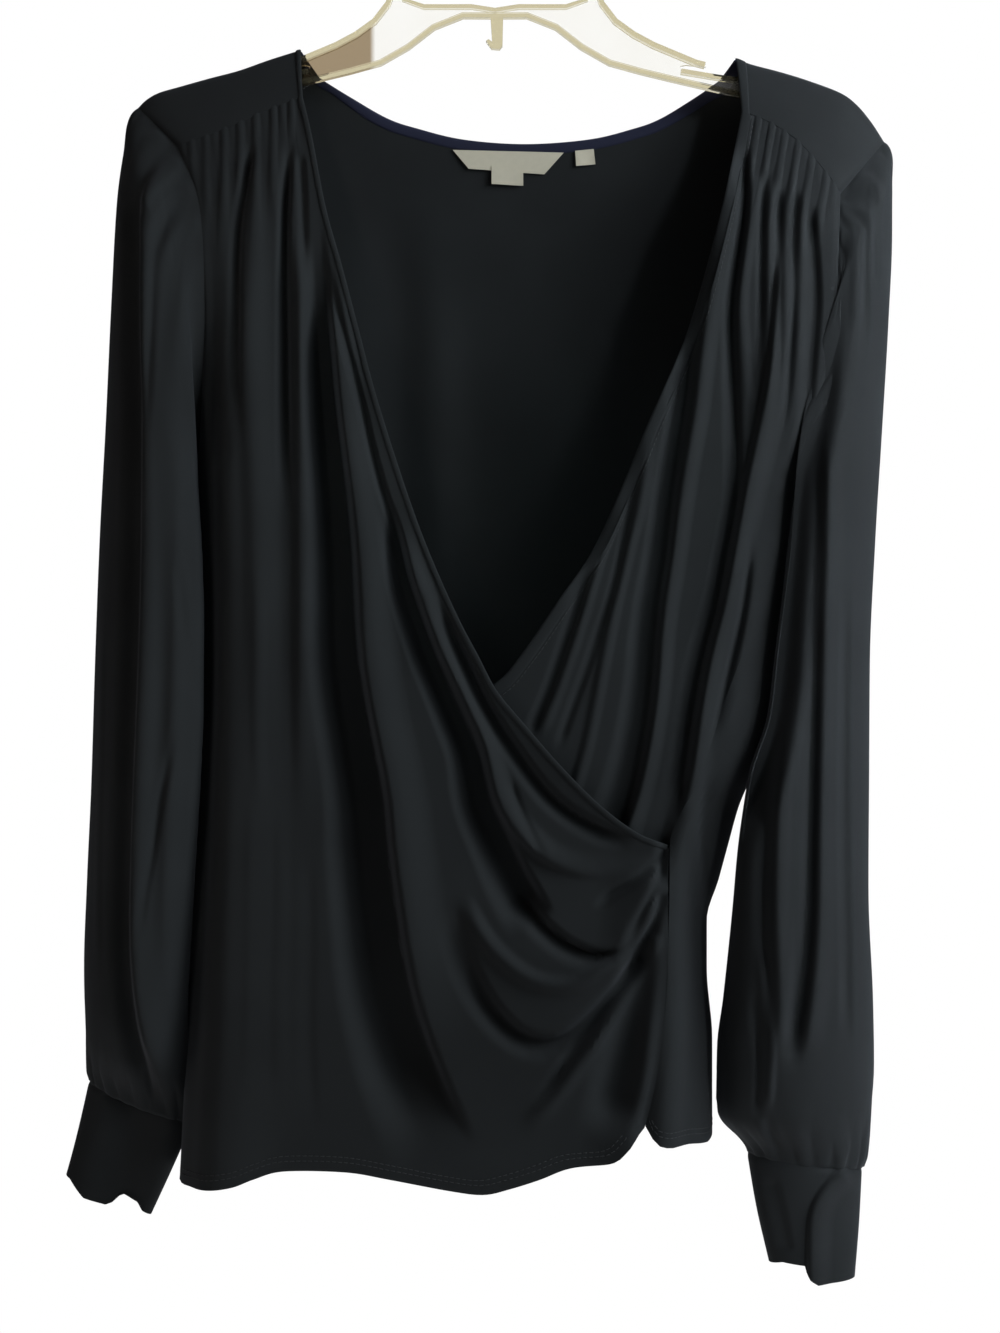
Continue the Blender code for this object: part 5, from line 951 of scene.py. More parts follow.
def back_top(x):
    """Drop of the back's upper edge: yoke seam, neck binding, yoke seam."""
    neck = back_neck()
    left = spline(LEFT_YOKE["back"][::-1], np.linspace(0, 1, 40))
    right = spline(RIGHT_YOKE["back"], np.linspace(0, 1, 40))
    line = np.vstack([left[left[:, 0] < neck[0, 0] - 0.2], neck, right[right[:, 0] > neck[-1, 0] + 0.2]])
    return np.interp(x, line[:, 0], line[:, 1])

# %% The back
HEM_LEVEL = 745  # the drop at which the hem of the strip round the side is laid out


def back_points(steps=5, down=6):
    """Flat columns over the back, then columns that turn round its right side as far as the seam."""
    arm_left = armhole_rows(LEFT_ARMHOLE_BACK, 8 * down)[::-1]
    arm_right = armhole_rows(RIGHT_ARMHOLE_BACK, 8 * down)[::-1]
    side_drops = finer((*SIDE_ROWS, 610, 643, 670, 700, 735), down)[1:]
    right_drops = np.concatenate([arm_right[:, 1], side_drops])
    rows = len(right_drops)
    low_drops = np.linspace(LEFT_UNDERARM[1], 765, rows - len(arm_left) + 1)[1:]
    left_drops = np.concatenate([arm_left[:, 1], low_drops])
    start_x = back_stations(steps)
    flat = (start_x - start_x[0]) / (start_x[-1] - start_x[0])
    turn = np.linspace(0, 1, 7 * steps + 1)[1:]
    near_turn = slice(len(flat), None)
    start_x = np.append(start_x, RIGHT_TOP_X - RIGHT_ROUND * (1 - np.cos(0.5 * np.pi * (1 - turn))))
    start = back_top(start_x)
    start[0], start[-1] = left_drops[0], right_drops[0]
    hem = np.interp(start_x, *np.array(BACK_HEM).T)
    side = column(RIGHT_BACK_EDGE, HEM_LEVEL, 1)
    last = np.arccos(1 - (side - SIDE_SEAM[-1][0]) / RIGHT_ROUND)
    around = (last + 0.5 * np.pi) * turn - 0.5 * np.pi
    hem_x = side - RIGHT_ROUND * (1 - np.cos(around))
    strip_hem = np.interp(hem_x, *np.array(STRIP_HEM)[::-1].T)
    hem[near_turn] = np.where(around > 0, strip_hem, hem[near_turn])
    across = np.linspace(0, 1, len(start_x))
    points = np.empty((rows, len(start_x), 3))
    for r in range(rows):
        left_share = (left_drops[r] - left_drops[0]) / (left_drops[-1] - left_drops[0])
        right_share = (right_drops[r] - right_drops[0]) / (right_drops[-1] - right_drops[0])
        share = left_share + (right_share - left_share) * across**3
        drop = start + (hem - start) * share
        left_x = column(LEFT_BACK_EDGE, drop, 1)
        right_x = column(RIGHT_BACK_EDGE, drop, 1)
        if r < len(arm_left):
            left_x[0], right_x[-1] = arm_left[r, 0], arm_right[r, 0]
        x = left_x + (right_x - RIGHT_ROUND - left_x) * np.append(flat, np.ones(len(turn)))
        y = back_surface(x, drop)
        fell = drop[near_turn]
        strip = np.where(fell > RIGHT_UNDERARM[1] + 1, right_x[near_turn] - seam_x(fell), 0)
        reach = np.arccos(np.clip(1 - strip / RIGHT_ROUND, -1, 1))
        angle = -0.5 * np.pi + (reach + 0.5 * np.pi) * turn
        bent = right_x[near_turn] - RIGHT_ROUND * (1 - np.cos(angle))
        x[near_turn] = bent
        y[near_turn] = np.where(angle <= 0, back_surface(bent, fell), right_front_surface(bent, fell))
        points[r] = in_space(x, y, drop)
    return points


back_grid = back_points()
top_back = cloth("top_back", back_grid, black_jersey, "jersey", "back")

# %% [markdown]
# ## Yokes
#
# Each shoulder has a smooth yoke that lies over the hanger's arm, from the front seam with its
# gathers to a seam at the back. It is a saddle: a ridge line along the arm, falling away to both
# seams.

# %% Both yokes
YOKE_CORNER = 0.12  # share of the turn round an armhole that each half of the yoke's end takes
YOKE_LONG = 97.0  # millimetres from the neck to the armhole, to turn a band's width into a share


def neck_share(width):
    """The share of a yoke's length that a band of some width takes at the neck."""
    return width / YOKE_LONG


def yoke_point(yoke, along, round_it):
    """Point of a yoke: along 0 neck to 1 armhole, round -1 front seam over 0 ridge to 1 back seam."""
    along, round_it = np.broadcast_arrays(np.asarray(along, float), np.asarray(round_it, float))
    shape = along.shape
    s, t = along.ravel(), round_it.ravel()
    ridge = spline(yoke["ridge"], s)
    front = spline(yoke["front"], s)
    rear = spline(yoke["back"], s)
    seam = np.where(t[:, None] < 0, front, rear)
    depth = np.where(t < 0, front_base(front[:, 0], front[:, 1]), back_base(rear[:, 0], rear[:, 1]))
    fall = np.abs(t) ** 2
    flat = ridge + (seam - ridge) * fall[:, None]
    y = depth * np.abs(t) ** 1.2
    return in_space(flat[:, 0], y, flat[:, 1]).reshape(*shape, 3)


def yoke_points(shape, width):
    """A yoke's grid from the edge of its neck band to the armhole, with a slight lip at both seams."""
    along = np.linspace(neck_share(width), 1, 49)
    round_it = np.linspace(-1, 1, 61)
    points = yoke_point(shape, along[None, :], round_it[:, None])
    points[..., 2] += 0.1 * ease((np.abs(round_it) - 0.90) / 0.10)[:, None]
    return points


yoke_left, yoke_right = (
    cloth(f"yoke_{side}_jersey", yoke_points(shape, width), black_jersey, "jersey", f"yoke_{side}")
    for side, shape, width in (("left", LEFT_YOKE, OVER_BAND * 0.6), ("right", RIGHT_YOKE, UNDER_BAND - 1))
)

# %% [markdown]
# ## Sleeves
#
# A full sleeve starts at the armhole, is gathered over the shoulder, hangs as a flat tube beside
# the body and is gathered again into the cuff. Its table gives, by share of its length, how low the
# outer and the inner side have come, their depth, and how far the front and the back half stand out.

# %% Tables of the sleeves
# share of the length, drop outside, drop inside, depth outside, depth inside, how far the front half
# and the back half stand out, how far the middle is moved in x
LEFT_SLEEVE = (
    (0.00, 171, 379, 0.0, 0.0, 32, 30, 24),
    (0.06, 182, 389, 1.0, -9.0, 36, 34, 18),
    (0.13, 210, 403, 2.0, -18.0, 37, 37, 9),
    (0.22, 262, 430, 2.0, -26.0, 37, 40, 3),
    (0.36, 350, 478, 2.0, -30.0, 38, 42, 0),
    (0.50, 440, 530, 2.0, -30.0, 39, 42, 0),
    (0.64, 530, 592, 2.0, -28.0, 40, 42, 0),
    (0.78, 613, 650, 2.0, -23.0, 40, 40, 0),
    (0.88, 662, 690, 1.0, -16.0, 39, 37, 0),
    (0.95, 693, 716, 0.0, -8.0, 32, 30, 0),
    (1.00, 714, 737, 0.0, 0.0, 18, 17, 0),
)
# drop and x of its outer and of its inner side
LEFT_SLEEVE_OUTER = ((171, -199.5), (182, -204), (196, -207.5), (222, -211), (278, -214), (345, -217),
                     (412, -220.5), (480, -223), (547, -225), (603, -227.5), (648, -229), (685, -228),
                     (714, -226))
LEFT_SLEEVE_INNER = ((376, -167), (392, -163), (409, -159), (436, -156.5), (469, -155.3), (510, -155.3),
                     (556, -158.2), (600, -162.2), (649, -165.4), (693, -167.4), (722, -168.7),
                     (737, -169.5))
RIGHT_SLEEVE = (
    (0.00, 190, 383, 0.0, 0.0, 33, 30, -8),
    (0.06, 199, 392, 1.0, -12.0, 36, 34, -12),
    (0.13, 226, 406, 2.0, -26.0, 34, 37, -15),
    (0.22, 280, 433, 2.0, -40.0, 31, 42, -12),
    (0.36, 368, 481, 2.0, -46.0, 28, 44, -4),
    (0.50, 455, 533, 2.0, -46.0, 27, 44, 0),
    (0.64, 545, 596, 2.0, -37.0, 31, 42, 0),
    (0.78, 632, 662, 2.0, -22.0, 40, 40, 0),
    (0.88, 692, 706, 1.0, -15.0, 38, 36, 0),
    (0.95, 735, 737, 0.0, -7.0, 31, 28, 0),
    (1.00, 762, 754, 0.0, 0.0, 19, 18, 0),
)
RIGHT_SLEEVE_OUTER = ((190, 217.5), (199, 220), (215, 222), (240, 222), (289, 220), (356, 216),
                      (412, 212.5), (480, 209.5), (547, 209), (608, 208.5), (670, 211), (705, 211.5),
                      (738, 209), (762, 205.5))
RIGHT_SLEEVE_INNER = ((380, 166), (400, 162.5), (433, 158), (474, 152), (510, 147.5), (540, 138),
                      (558, 135), (584, 132), (622, 129.5), (666, 126), (693, 123), (723, 122.6),
                      (741, 131), (754, 141.7))

# %% Folds of the sleeves
# The creases of the front half have the columns of the fronts' folds, the folds of the back half
# those of the back's. The back half's are placed mirrored across the sleeve and 14 mm higher up.
LEFT_SLEEVE_CREASES = (
    ("lobe_ridge", 9.0, (4, 4), (17, 14), 0.08, 0.06,
     ((-190.4, 205.6), (-191.5, 230), (-190.4, 257.2), (-189.9, 284.3), (-188.8, 311.4),
      (-187.2, 338.6), (-186.6, 392.8), (-187.2, 447.1), (-188.8, 501.4), (-191, 555.7),
      (-192.6, 609.9), (-192, 642.5), (-189.3, 669.6), (-185, 691.3), (-179.6, 710.3))),
    ("fold_line", -8.0, (13, 12), (4, 4), 0.08, 0.04,
     ((-194.2, 205.6), (-195.8, 230), (-194.8, 257.2), (-194.2, 284.3), (-193.1, 311.4), (-192, 338.6),
      (-191.5, 392.8), (-192, 447.1), (-193.7, 501.4), (-195.8, 555.7), (-197.5, 609.9),
      (-197.5, 642.5), (-195.3, 669.6), (-191.5, 691.3), (-186.1, 713))),
    ("head_line", -2.4, (4, 4), (4, 4), 0.0, 0.3,
     ((-180.6, 192), (-183.4, 230), (-184.4, 284.3), (-185, 322.3), (-185.5, 365.7))),
    ("head_line_2", -1.8, (4, 4), (4, 4), 0.1, 0.35,
     ((-177.4, 208.3), (-174.7, 232.7), (-172, 257.2), (-169.8, 278.9))),
    ("lobe_line", -1.8, (4, 4), (4, 4), 0.2, 0.2,
     ((-170.3, 517.7), (-174.7, 538.3), (-178.5, 555.7), (-182.8, 582.8), (-186.6, 601.8),
      (-190.4, 634.4))),
    ("lobe_line_2", -1.2, (4, 4), (4, 4), 0.3, 0.3,
     ((-169.8, 425.4), (-167.6, 447.1), (-166, 474.2))),
    ("outer_line", 1.0, (4, 4), (4, 4), 0.2, 0.2,
     ((-214.3, 447.1), (-214.8, 501.4), (-215.4, 555.7), (-215.9, 609.9), (-215.4, 664.2))),
    ("lobe_swell", 3.0, (10, 10), (9, 8), 0.15, 0.1,
     ((-170.9, 257.2), (-173, 338.6), (-170.9, 420), (-170.9, 501.4), (-175.2, 582.8), (-178.5, 653.3),
      (-179, 696.8))),
)
RIGHT_SLEEVE_CREASES = (
    ("second_lobe", 4.5, (5, 6), (14, 14), 0.1, 0.05,
     ((179.7, 289.7), (178.1, 316.9), (177.6, 344), (177, 382), (176.5, 425.4), (175.4, 447.1),
      (175.4, 474.2), (175.4, 501.4), (174.8, 528.5), (174.3, 555.7), (173.8, 582.8), (173.2, 609.9),
      (171.6, 637.1), (168.9, 664.2), (164, 696.8))),
    ("crease_line", -4.5, (9, 13), (4.5, 5), 0.1, 0.05,
     ((177.6, 289.7), (175.9, 316.9), (175.4, 344), (174.8, 382), (174.3, 425.4), (173.2, 447.1),
      (172.7, 474.2), (172.7, 501.4), (172.1, 528.5), (171.6, 555.7), (171, 582.8), (170.5, 609.9),
      (168.9, 637.1), (166.2, 664.2), (161.3, 696.8))),
    ("first_lobe", 5.0, (5, 6), (13, 12), 0.15, 0.08,
     ((165.6, 354.8), (162.9, 392.8), (159.1, 425.4), (156.4, 458), (154.2, 501.4), (151.5, 544.8),
      (149.9, 582.8), (149.3, 620.8), (150.4, 653.3), (151, 685.9), (151, 707.6))),
    ("inner_line", -2.8, (8, 10), (5, 5), 0.15, 0.1,
     ((162.4, 354.8), (159.6, 392.8), (155.9, 425.4), (153.1, 458), (151, 501.4), (148.3, 544.8),
      (146.6, 582.8), (146.6, 620.8), (148.3, 653.3), (149.3, 680.5), (149.3, 696.8))),
    ("head_line", -2.6, (4, 4), (4, 4), 0.0, 0.35,
     ((204.7, 208.3), (203.1, 230), (202.5, 257.2), (202, 284.3), (200.4, 316.9))),
    ("head_line_2", -2.0, (4, 4), (4, 4), 0.0, 0.35,
     ((209.6, 205.6), (209, 230), (208.5, 262.6), (207.4, 289.7))),
    ("head_ridge", 2.4, (4, 4), (4, 4), 0.0, 0.3,
     ((199.3, 208.3), (197.1, 235.4), (196, 273.4), (194.4, 311.4))),
    ("outer_trough", -2.6, (6, 7), (4, 5), 0.25, 0.1,
     ((190.6, 425.4), (190, 501.4), (190, 566.5), (190.6, 631.6), (191.7, 691.3))),
    ("pleat_ridge", 2.6, (4, 4), (4, 4), 0.2, 0.05,
     ((141.2, 631.6), (144.5, 656.1), (147.2, 680.5), (148.3, 702.2), (147.7, 721.2))),
    ("pleat_line_2", -2.4, (4, 4), (4, 4), 0.2, 0.05,
     ((138.5, 656.1), (141.2, 680.5), (142.8, 702.2), (142.3, 723.9))),
)
LEFT_SLEEVE_FOLDS = (
    ("outer_ridge", 6.0, 15, 1.2, 0.15, 0.15, ((-190, 215), (-189, 300), (-190, 447), (-194, 534),
                                              (-195, 610), (-191, 669), (-180, 716))),
    ("head_ridge", 2.0, 6, 1.0, 0.0, 0.5, ((-188, 180), (-190, 215), (-190, 270))),
    ("head_trough", -2.5, 6, 1.0, 0.0, 0.5, ((-180, 185), (-178, 220), (-176, 280))),
    ("inner_ridge", 3.0, 9, 1.0, 0.2, 0.4, ((-172, 215), (-166, 280), (-166, 380), (-168, 480))),
    ("middle_trough", -5.0, 12, 1.0, 0.2, 0.3, ((-176, 230), (-176, 340), (-175, 447), (-180, 540),
                                               (-182, 640))),
    ("low_crease", 3.0, 8, 1.2, 0.2, 0.3, ((-168, 515), (-174, 550), (-182, 590), (-188, 640))),
    ("outer_trough", -4, 12, 1.0, 0.2, 0.3, ((-207, 260), (-208, 400), (-211, 540), (-212, 660))),
    ("lobe_ridge", 3.5, 9, 1.0, 0.3, 0.1, ((-178, 600), (-176, 660), (-172, 716))),
)
RIGHT_SLEEVE_FOLDS = (
    ("head_ridge", 2.4, 6, 1.0, 0.0, 0.5, ((206, 200), (204, 245), (203, 300))),
    ("head_trough", -2.6, 6, 1.0, 0.0, 0.5, ((198, 208), (195, 245), (191, 300))),
    ("inner_ridge", 6.5, 12, 1.3, 0.1, 0.1, ((186, 262), (181, 300), (176, 350), (170, 447), (166, 512),
                                            (161, 583), (156, 653), (148, 712), (142, 745))),
    ("inner_trough", -5.5, 11, 1.0, 0.2, 0.2, ((190, 330), (183, 410), (178, 500), (173, 590), (168, 680))),
    ("outer_ridge", 5.0, 13, 1.0, 0.2, 0.1, ((198, 300), (192, 382), (186, 458), (182, 534), (180, 599),
                                            (178, 668), (180, 738))),
    ("outer_trough", -4.5, 11, 1.0, 0.2, 0.2, ((207, 300), (203, 400), (197, 500), (195, 600), (196, 690))),
    ("cuff_ridge", 3.5, 8, 1.0, 0.4, 0.0, ((150, 625), (150, 670), (152, 720), (156, 752))),
    ("cuff_trough", -3.5, 7, 1.0, 0.4, 0.0, ((164, 650), (165, 700), (167, 752))),
    ("back_crease", -4, 10, 1.0, 0.2, 0.2, ((150, 540), (142, 600), (136, 660), (134, 720))),
)

# %% Form of a sleeve
# What each sleeve is made from, by its side: minus is the left of the view, plus the right.
SLEEVES = {
    -1: dict(rows=LEFT_SLEEVE, outer=LEFT_SLEEVE_OUTER, inner=LEFT_SLEEVE_INNER, yoke=LEFT_YOKE,
             front_edge=LEFT_FRONT_EDGE, back_edge=LEFT_BACK_EDGE, front_surface=over_surface,
             front_seam=LEFT_ARMHOLE_FRONT, back_seam=LEFT_ARMHOLE_BACK,
             creases=LEFT_SLEEVE_CREASES, back_folds=LEFT_SLEEVE_FOLDS),
    1: dict(rows=RIGHT_SLEEVE, outer=RIGHT_SLEEVE_OUTER, inner=RIGHT_SLEEVE_INNER, yoke=RIGHT_YOKE,
            front_edge=RIGHT_FRONT_EDGE, back_edge=RIGHT_BACK_EDGE, front_surface=under_surface,
            front_seam=RIGHT_ARMHOLE_FRONT, back_seam=RIGHT_ARMHOLE_BACK,
            creases=RIGHT_SLEEVE_CREASES, back_folds=RIGHT_SLEEVE_FOLDS),
}


def armhole(side, turns):
    """Points of an armhole seam; turn 0 is the shoulder, a quarter the front, a half the underarm."""
    own = SLEEVES[side]
    points = np.empty((len(turns), 3))
    for i, t in enumerate(turns):
        if YOKE_CORNER < t < 1 - YOKE_CORNER:
            seam, start = (own["front_seam"], YOKE_CORNER) if t < 0.5 else (own["back_seam"], 0.5)
            x, y, drop = spline(seam, [(t - start) / (0.5 - YOKE_CORNER)])[0]
            points[i] = (x, y, -drop)
        else:
            from_ridge = -t if t < 0.5 else 1 - t
            points[i] = yoke_point(own["yoke"], 1.0, from_ridge / YOKE_CORNER)
    return points


def plain_tube(rows, x_out, x_in, drop_out, drop_in, v, turn):
    """x, depth and drop of a flat tube: its outer and inner side are joined by two bulging halves."""
    c, s = np.cos(2 * np.pi * turn), np.sin(2 * np.pi * turn)
    drop = (drop_out + drop_in) / 2 + (drop_out - drop_in) / 2 * c
    x = (x_out + x_in) / 2 + (x_out - x_in) / 2 * c
    deep = np.where(s > 0, column(rows, v, 5), column(rows, v, 6))
    return x, -deep * s, drop


# Millimetres that a sleeve keeps from the body's side line, how much nearer it comes lower down on
# each side, and how far it may reach over the body where it lies in front of it.
CLEAR, NEARER, OVER_BODY = 2.6, {-1: 5.5, 1: 5.0}, 22


def beside_body(side, x, y, drop, v, s):
    """Keeps a sleeve outside the body's side, and brings its inner front level with the body's front."""
    own = SLEEVES[side]
    edge = column(own["front_edge"], drop, 1)
    if side < 0:
        low, reach, until = ease((drop - 655) / 30), 10, (270 - drop) / 50
    else:
        low = ease((drop - 300) / 60) * ease((575 - drop) / 40)
        reach, until = 14 + 14 * ease((330 - drop) / 80), (600 - drop) / 60
    clear = CLEAR * ease(v / 0.06) - NEARER[side] * low
    beside = side * np.minimum(side * x, side * edge - 1)
    ahead = front_base(beside, drop) - 2.5 - y
    limit = edge + side * clear - side * OVER_BODY * ease(ahead / 14)
    limit = np.where(y > 0, column(own["back_edge"], drop, 1) + side * clear, limit)
    x = np.where(v > 0.001, side * np.maximum(side * x, side * limit), x)
    below_arm = ease((drop - 330) / 60)
    body = front_base(edge - side * (1 + 13 * below_arm), drop) - 3.5 * below_arm
    away = side * (x - edge)
    level = (1 - ease(away / reach)) * ease(s * 3) * ease(until)
    return x, np.where(y < body, y + (body - 0.5 - y) * level, y)


def sleeve_points(side, shares, turns):
    """A sleeve's tube: from the armhole to its own form, folded, and clear of the body beside it."""
    own = SLEEVES[side]
    rows = own["rows"]
    v, turn = np.meshgrid(shares, turns, indexing="ij")
    c, s = np.cos(2 * np.pi * turn), np.sin(2 * np.pi * turn)
    drop_out, drop_in, y_out, y_in = (column(rows, v, k) for k in (1, 2, 3, 4))
    x_out, x_in = column(own["outer"], drop_out, 1), column(own["inner"], drop_in, 1)
    x, y, drop = plain_tube(rows, x_out, x_in, drop_out, drop_in, v, turn)
    x = x + column(rows, v, 7) * s**2
    y = y + (y_out + y_in) / 2 + (y_out - y_in) / 2 * c
    start = ease(1 - v / 0.10)[..., None]
    points = in_space(x, y, drop) * (1 - start) + armhole(side, turns)[None] * start
    x, y, drop = points[..., 0], points[..., 1], -points[..., 2]
    inside_ends = ease(v / 0.05) * ease((1 - v) / 0.03)
    y = y - creases_at(x, drop, own["creases"]) * ease(s * 1.6) * inside_ends
    mirrored = x_out + x_in - x
    y = y + 0.8 * folds_at(mirrored, drop + 14, own["back_folds"]) * ease(-s * 1.6) * inside_ends
    x, y = beside_body(side, x, y, drop, v, s)
    return in_space(x, y, drop)

# %% Gathers at the sleeve head and at the cuff
# share of the turn, height
HEAD_GATHERS = (
    (0.93, 1.0), (0.965, 1.3), (0.995, 1.0), (0.03, 1.5), (0.065, 1.2), (0.10, 1.7), (0.14, 1.2),
    (0.175, 1.4), (0.21, 1.0),
)
CUFF_GATHERS = (
    (0.02, 1.4), (0.07, 1.9), (0.115, 1.3), (0.165, 2.0), (0.215, 1.4), (0.265, 1.8), (0.31, 1.3),
    (0.36, 1.8), (0.41, 1.2), (0.55, 1.4), (0.63, 1.8), (0.71, 1.4), (0.79, 1.8), (0.87, 1.3), (0.94, 1.7),
)


def puckers(share, turns, gathers, half, reach):
    """Height of gathers at a sleeve's end: share is the way from that end."""
    total = np.zeros((len(share), len(turns)))
    for k, (at, high) in enumerate(gathers):
        away = np.abs((turns - at + 0.5) % 1 - 0.5)[None, :]
        uneven = ((k * 37) % 11) / 10
        long = reach * (0.7 + 0.5 * uneven)
        shape = gather_shape(away, half, share[:, None] / long, 0.3)
        total += high * shape * (ease(1 - share / long) * (0.4 + 0.6 * ease(share / 0.012)))[:, None]
    return total


def outward_of(points):
    """Unit normals of a tube of points, away from its middle."""
    down = np.gradient(points, axis=0)
    across = (np.roll(points, -1, axis=1) - np.roll(points, 1, axis=1)) / 2
    normal = unit(np.cross(across, down))
    middle = points.mean(axis=1, keepdims=True)
    sign = np.sign(((points - middle) * normal).sum(axis=2).mean())
    return normal * sign

# %% Both sleeves
SLEEVE_COLUMNS = 240
HEAD_END, FOOT_START = 0.09, 0.93  # shares of the length between which the rows are further apart


def on_body(side, ring, turns):
    """Seats the armhole line on the front and the back as they are now."""
    x, drop = ring[:, 0], -ring[:, 2]
    seated = ring.copy()
    on_front = (turns > YOKE_CORNER) & (turns < 0.5)
    on_back = (turns >= 0.5) & (turns < 1 - YOKE_CORNER)
    seated[on_front, 1] = SLEEVES[side]["front_surface"](x, drop)[on_front]
    seated[on_back, 1] = back_surface(x, drop)[on_back]
    return seated


def rounded_head(side, seam, points, shares, turns, until=0.10):
    """The first rings as a smooth run that leaves the armhole seam outward and joins the tube."""
    k = int(np.searchsorted(shares, until))
    s = (shares[:k] / shares[k])[:, None, None]
    gap = np.linalg.norm(points[k] - seam, axis=1)[:, None]
    leave = np.column_stack([np.full(len(turns), side * 0.85), -0.35 * np.sin(2 * np.pi * turns),
                             np.full(len(turns), -0.42)])
    head = hermite(s, seam, leave * gap, points[k], unit(points[k + 2] - points[k]) * gap)
    return np.concatenate([head, points[k:]])


def rounded_foot(ring, points, shares, begin=0.92):
    """The last rings as a puff that overhangs and then turns in to the cuff's seam."""
    k = int(np.searchsorted(shares, begin))
    s = ((shares[k:] - shares[k]) / (1 - shares[k]))[:, None, None]
    gap = np.linalg.norm(ring - points[k], axis=1)[:, None]
    join = 0.22 * unit(ring.mean(axis=0) - ring) + np.array([0, 0, -0.8])
    foot = hermite(s, points[k], unit(points[k] - points[k - 2]) * gap, ring, join * gap)
    return np.concatenate([points[:k], foot])


def sleeve_grid(side):
    """A sleeve with its gathers, from a tuck under the armhole seam to an end inside the cuff."""
    turns = np.arange(SLEEVE_COLUMNS) / SLEEVE_COLUMNS
    shares = np.concatenate([np.linspace(0, HEAD_END, 20)[:-1],
                             np.linspace(HEAD_END, FOOT_START, 80)[:-1], np.linspace(FOOT_START, 1, 18)])
    points = sleeve_points(side, shares, turns)
    out = outward_of(points)
    rise = puckers(shares, turns, HEAD_GATHERS, 0.014, 0.13)
    rise += puckers(1 - shares, turns, CUFF_GATHERS, 0.020, 0.11)
    seam = on_body(side, points[0], turns)
    points = rounded_head(side, seam, points, shares, turns)
    middle = points[-1].mean(axis=0)
    points = rounded_foot(middle + (points[-1] - middle) * 1.015, points, shares)
    points = points + (rise * ease(shares / 0.012)[:, None])[..., None] * out
    # The first ring goes 2 mm into the body under the seam, the last one 1 mm down into the cuff.
    tuck = seam + np.column_stack([np.full(len(turns), -side * 2.0), -np.sign(seam[:, 1]) * 0.5,
                                   np.full(len(turns), 0.3)])
    end = middle + (points[-1] - middle) * 0.9 + np.array([0, 0, -1.0])
    return np.concatenate([tuck[None], points, end[None]])


sleeve_left, sleeve_right = (
    cloth(f"sleeve_{name}_jersey", sleeve_grid(side), black_jersey, "jersey", f"sleeve_{name}", closed=True)
    for name, side in (("left", -1), ("right", 1))
)

# %% [markdown]
# ## Cuffs
#
# The cuffs are deep flat tubes of doubled jersey. They keep a smooth edge below and take in the
# gathers of the sleeve above.

# %% Both cuffs
# share of the length, x and drop outside, x and drop inside, how far the front and the back stand out
LEFT_CUFF = (
    (0, -226, 714, -169.5, 737, 18, 17),
    (0.5, -232, 741, -181, 763, 16, 15),
    (1, -239, 771, -193, 789, 15, 14),
)
RIGHT_CUFF = (
    (0, 204.5, 762, 141.7, 754, 19, 18),
    (0.5, 203, 792, 147, 785, 16, 15),
    (1, 200.5, 823, 154, 815, 15, 14),
)
CUFF_CREASES = (
    ("left_fold", -8.0, (18, 24), (24, 22), 0.05, 0.0,
     ((-203, 716), (-200.5, 735), (-205.5, 757), (-208.8, 778))),
    ("right_lap", 3.5, (2.5, 2.5), (14, 12), 0.1, 0.0,
     ((195.6, 759), (184.5, 768), (176.2, 781.5), (174.5, 800), (175, 824))),
    ("right_soft", -1.5, (8, 8), (5, 5), 0.15, 0.1, ((153, 765), (158, 785), (163, 810))),
)
LEFT_CUFF_HEM = (
    (-239, 767), (-236, 768), (-228, 777.5), (-216.6, 782), (-212.7, 781), (-209.4, 777.5), (-206.6, 776.5),
    (-199, 781), (-196.6, 786), (-193, 789),
)
RIGHT_CUFF_HEM = ((154, 815.5), (160, 813.5), (171.5, 814.5), (174.5, 822), (178, 824.5), (200.5, 823.5))


def cuff_grid(rows, hem):
    """A cuff's tube: drawn in a little at its seam, creased in front, its lower edge moved to the hem."""
    shares = np.linspace(0, 1, 50)
    v, turn = np.meshgrid(shares, np.arange(200) / 200, indexing="ij")
    x_out, d_out, x_in, d_in = (column(rows, v, k) for k in (1, 2, 3, 4))
    points = in_space(*plain_tube(rows, x_out, x_in, d_out, d_in, v, turn))
    middle = points.mean(axis=1, keepdims=True)
    draw = 1 - 0.02 * ease(1 - shares / 0.07)[:, None, None]
    points = middle + (points - middle) * draw
    front = ease(-points[..., 1] / 4)
    points[..., 1] -= creases_at(points[..., 0], -points[..., 2], CUFF_CREASES) * front
    _, x_out, d_out, x_in, d_in, _, _ = rows[-1]
    end_x = points[-1, :, 0]
    straight = d_in + (d_out - d_in) * (end_x - x_in) / (x_out - x_in)
    points[..., 2] -= (np.interp(end_x, *np.array(hem).T) - straight) * shares[:, None] ** 3
    return points


cuff_left, cuff_right = (
    cloth(f"cuff_{side}_jersey", cuff_grid(rows, hem), black_jersey, "jersey", f"cuff_{side}", closed=True,
          thick=1.6)
    for side, rows, hem in (("left", LEFT_CUFF, LEFT_CUFF_HEM), ("right", RIGHT_CUFF, RIGHT_CUFF_HEM))
)

# %% [markdown]
# ## Bands and binding
#
# The over front's edge is a narrow rolled band, almost a cord. The under front's is flat and twice
# as wide, and the back neck has a navy binding. All three are one profile, a flattened round, swept
# between the two edges of the band.

# %% A band swept between two lines
def facing_out(outer, inner):
    """Unit normals of the strip between two lines, turned to the front at its middle."""
    run = np.gradient((outer + inner) / 2, axis=0)
    normal = unit(np.cross(run, outer - inner))
    return normal * np.sign(-normal[len(normal) // 2, 1])


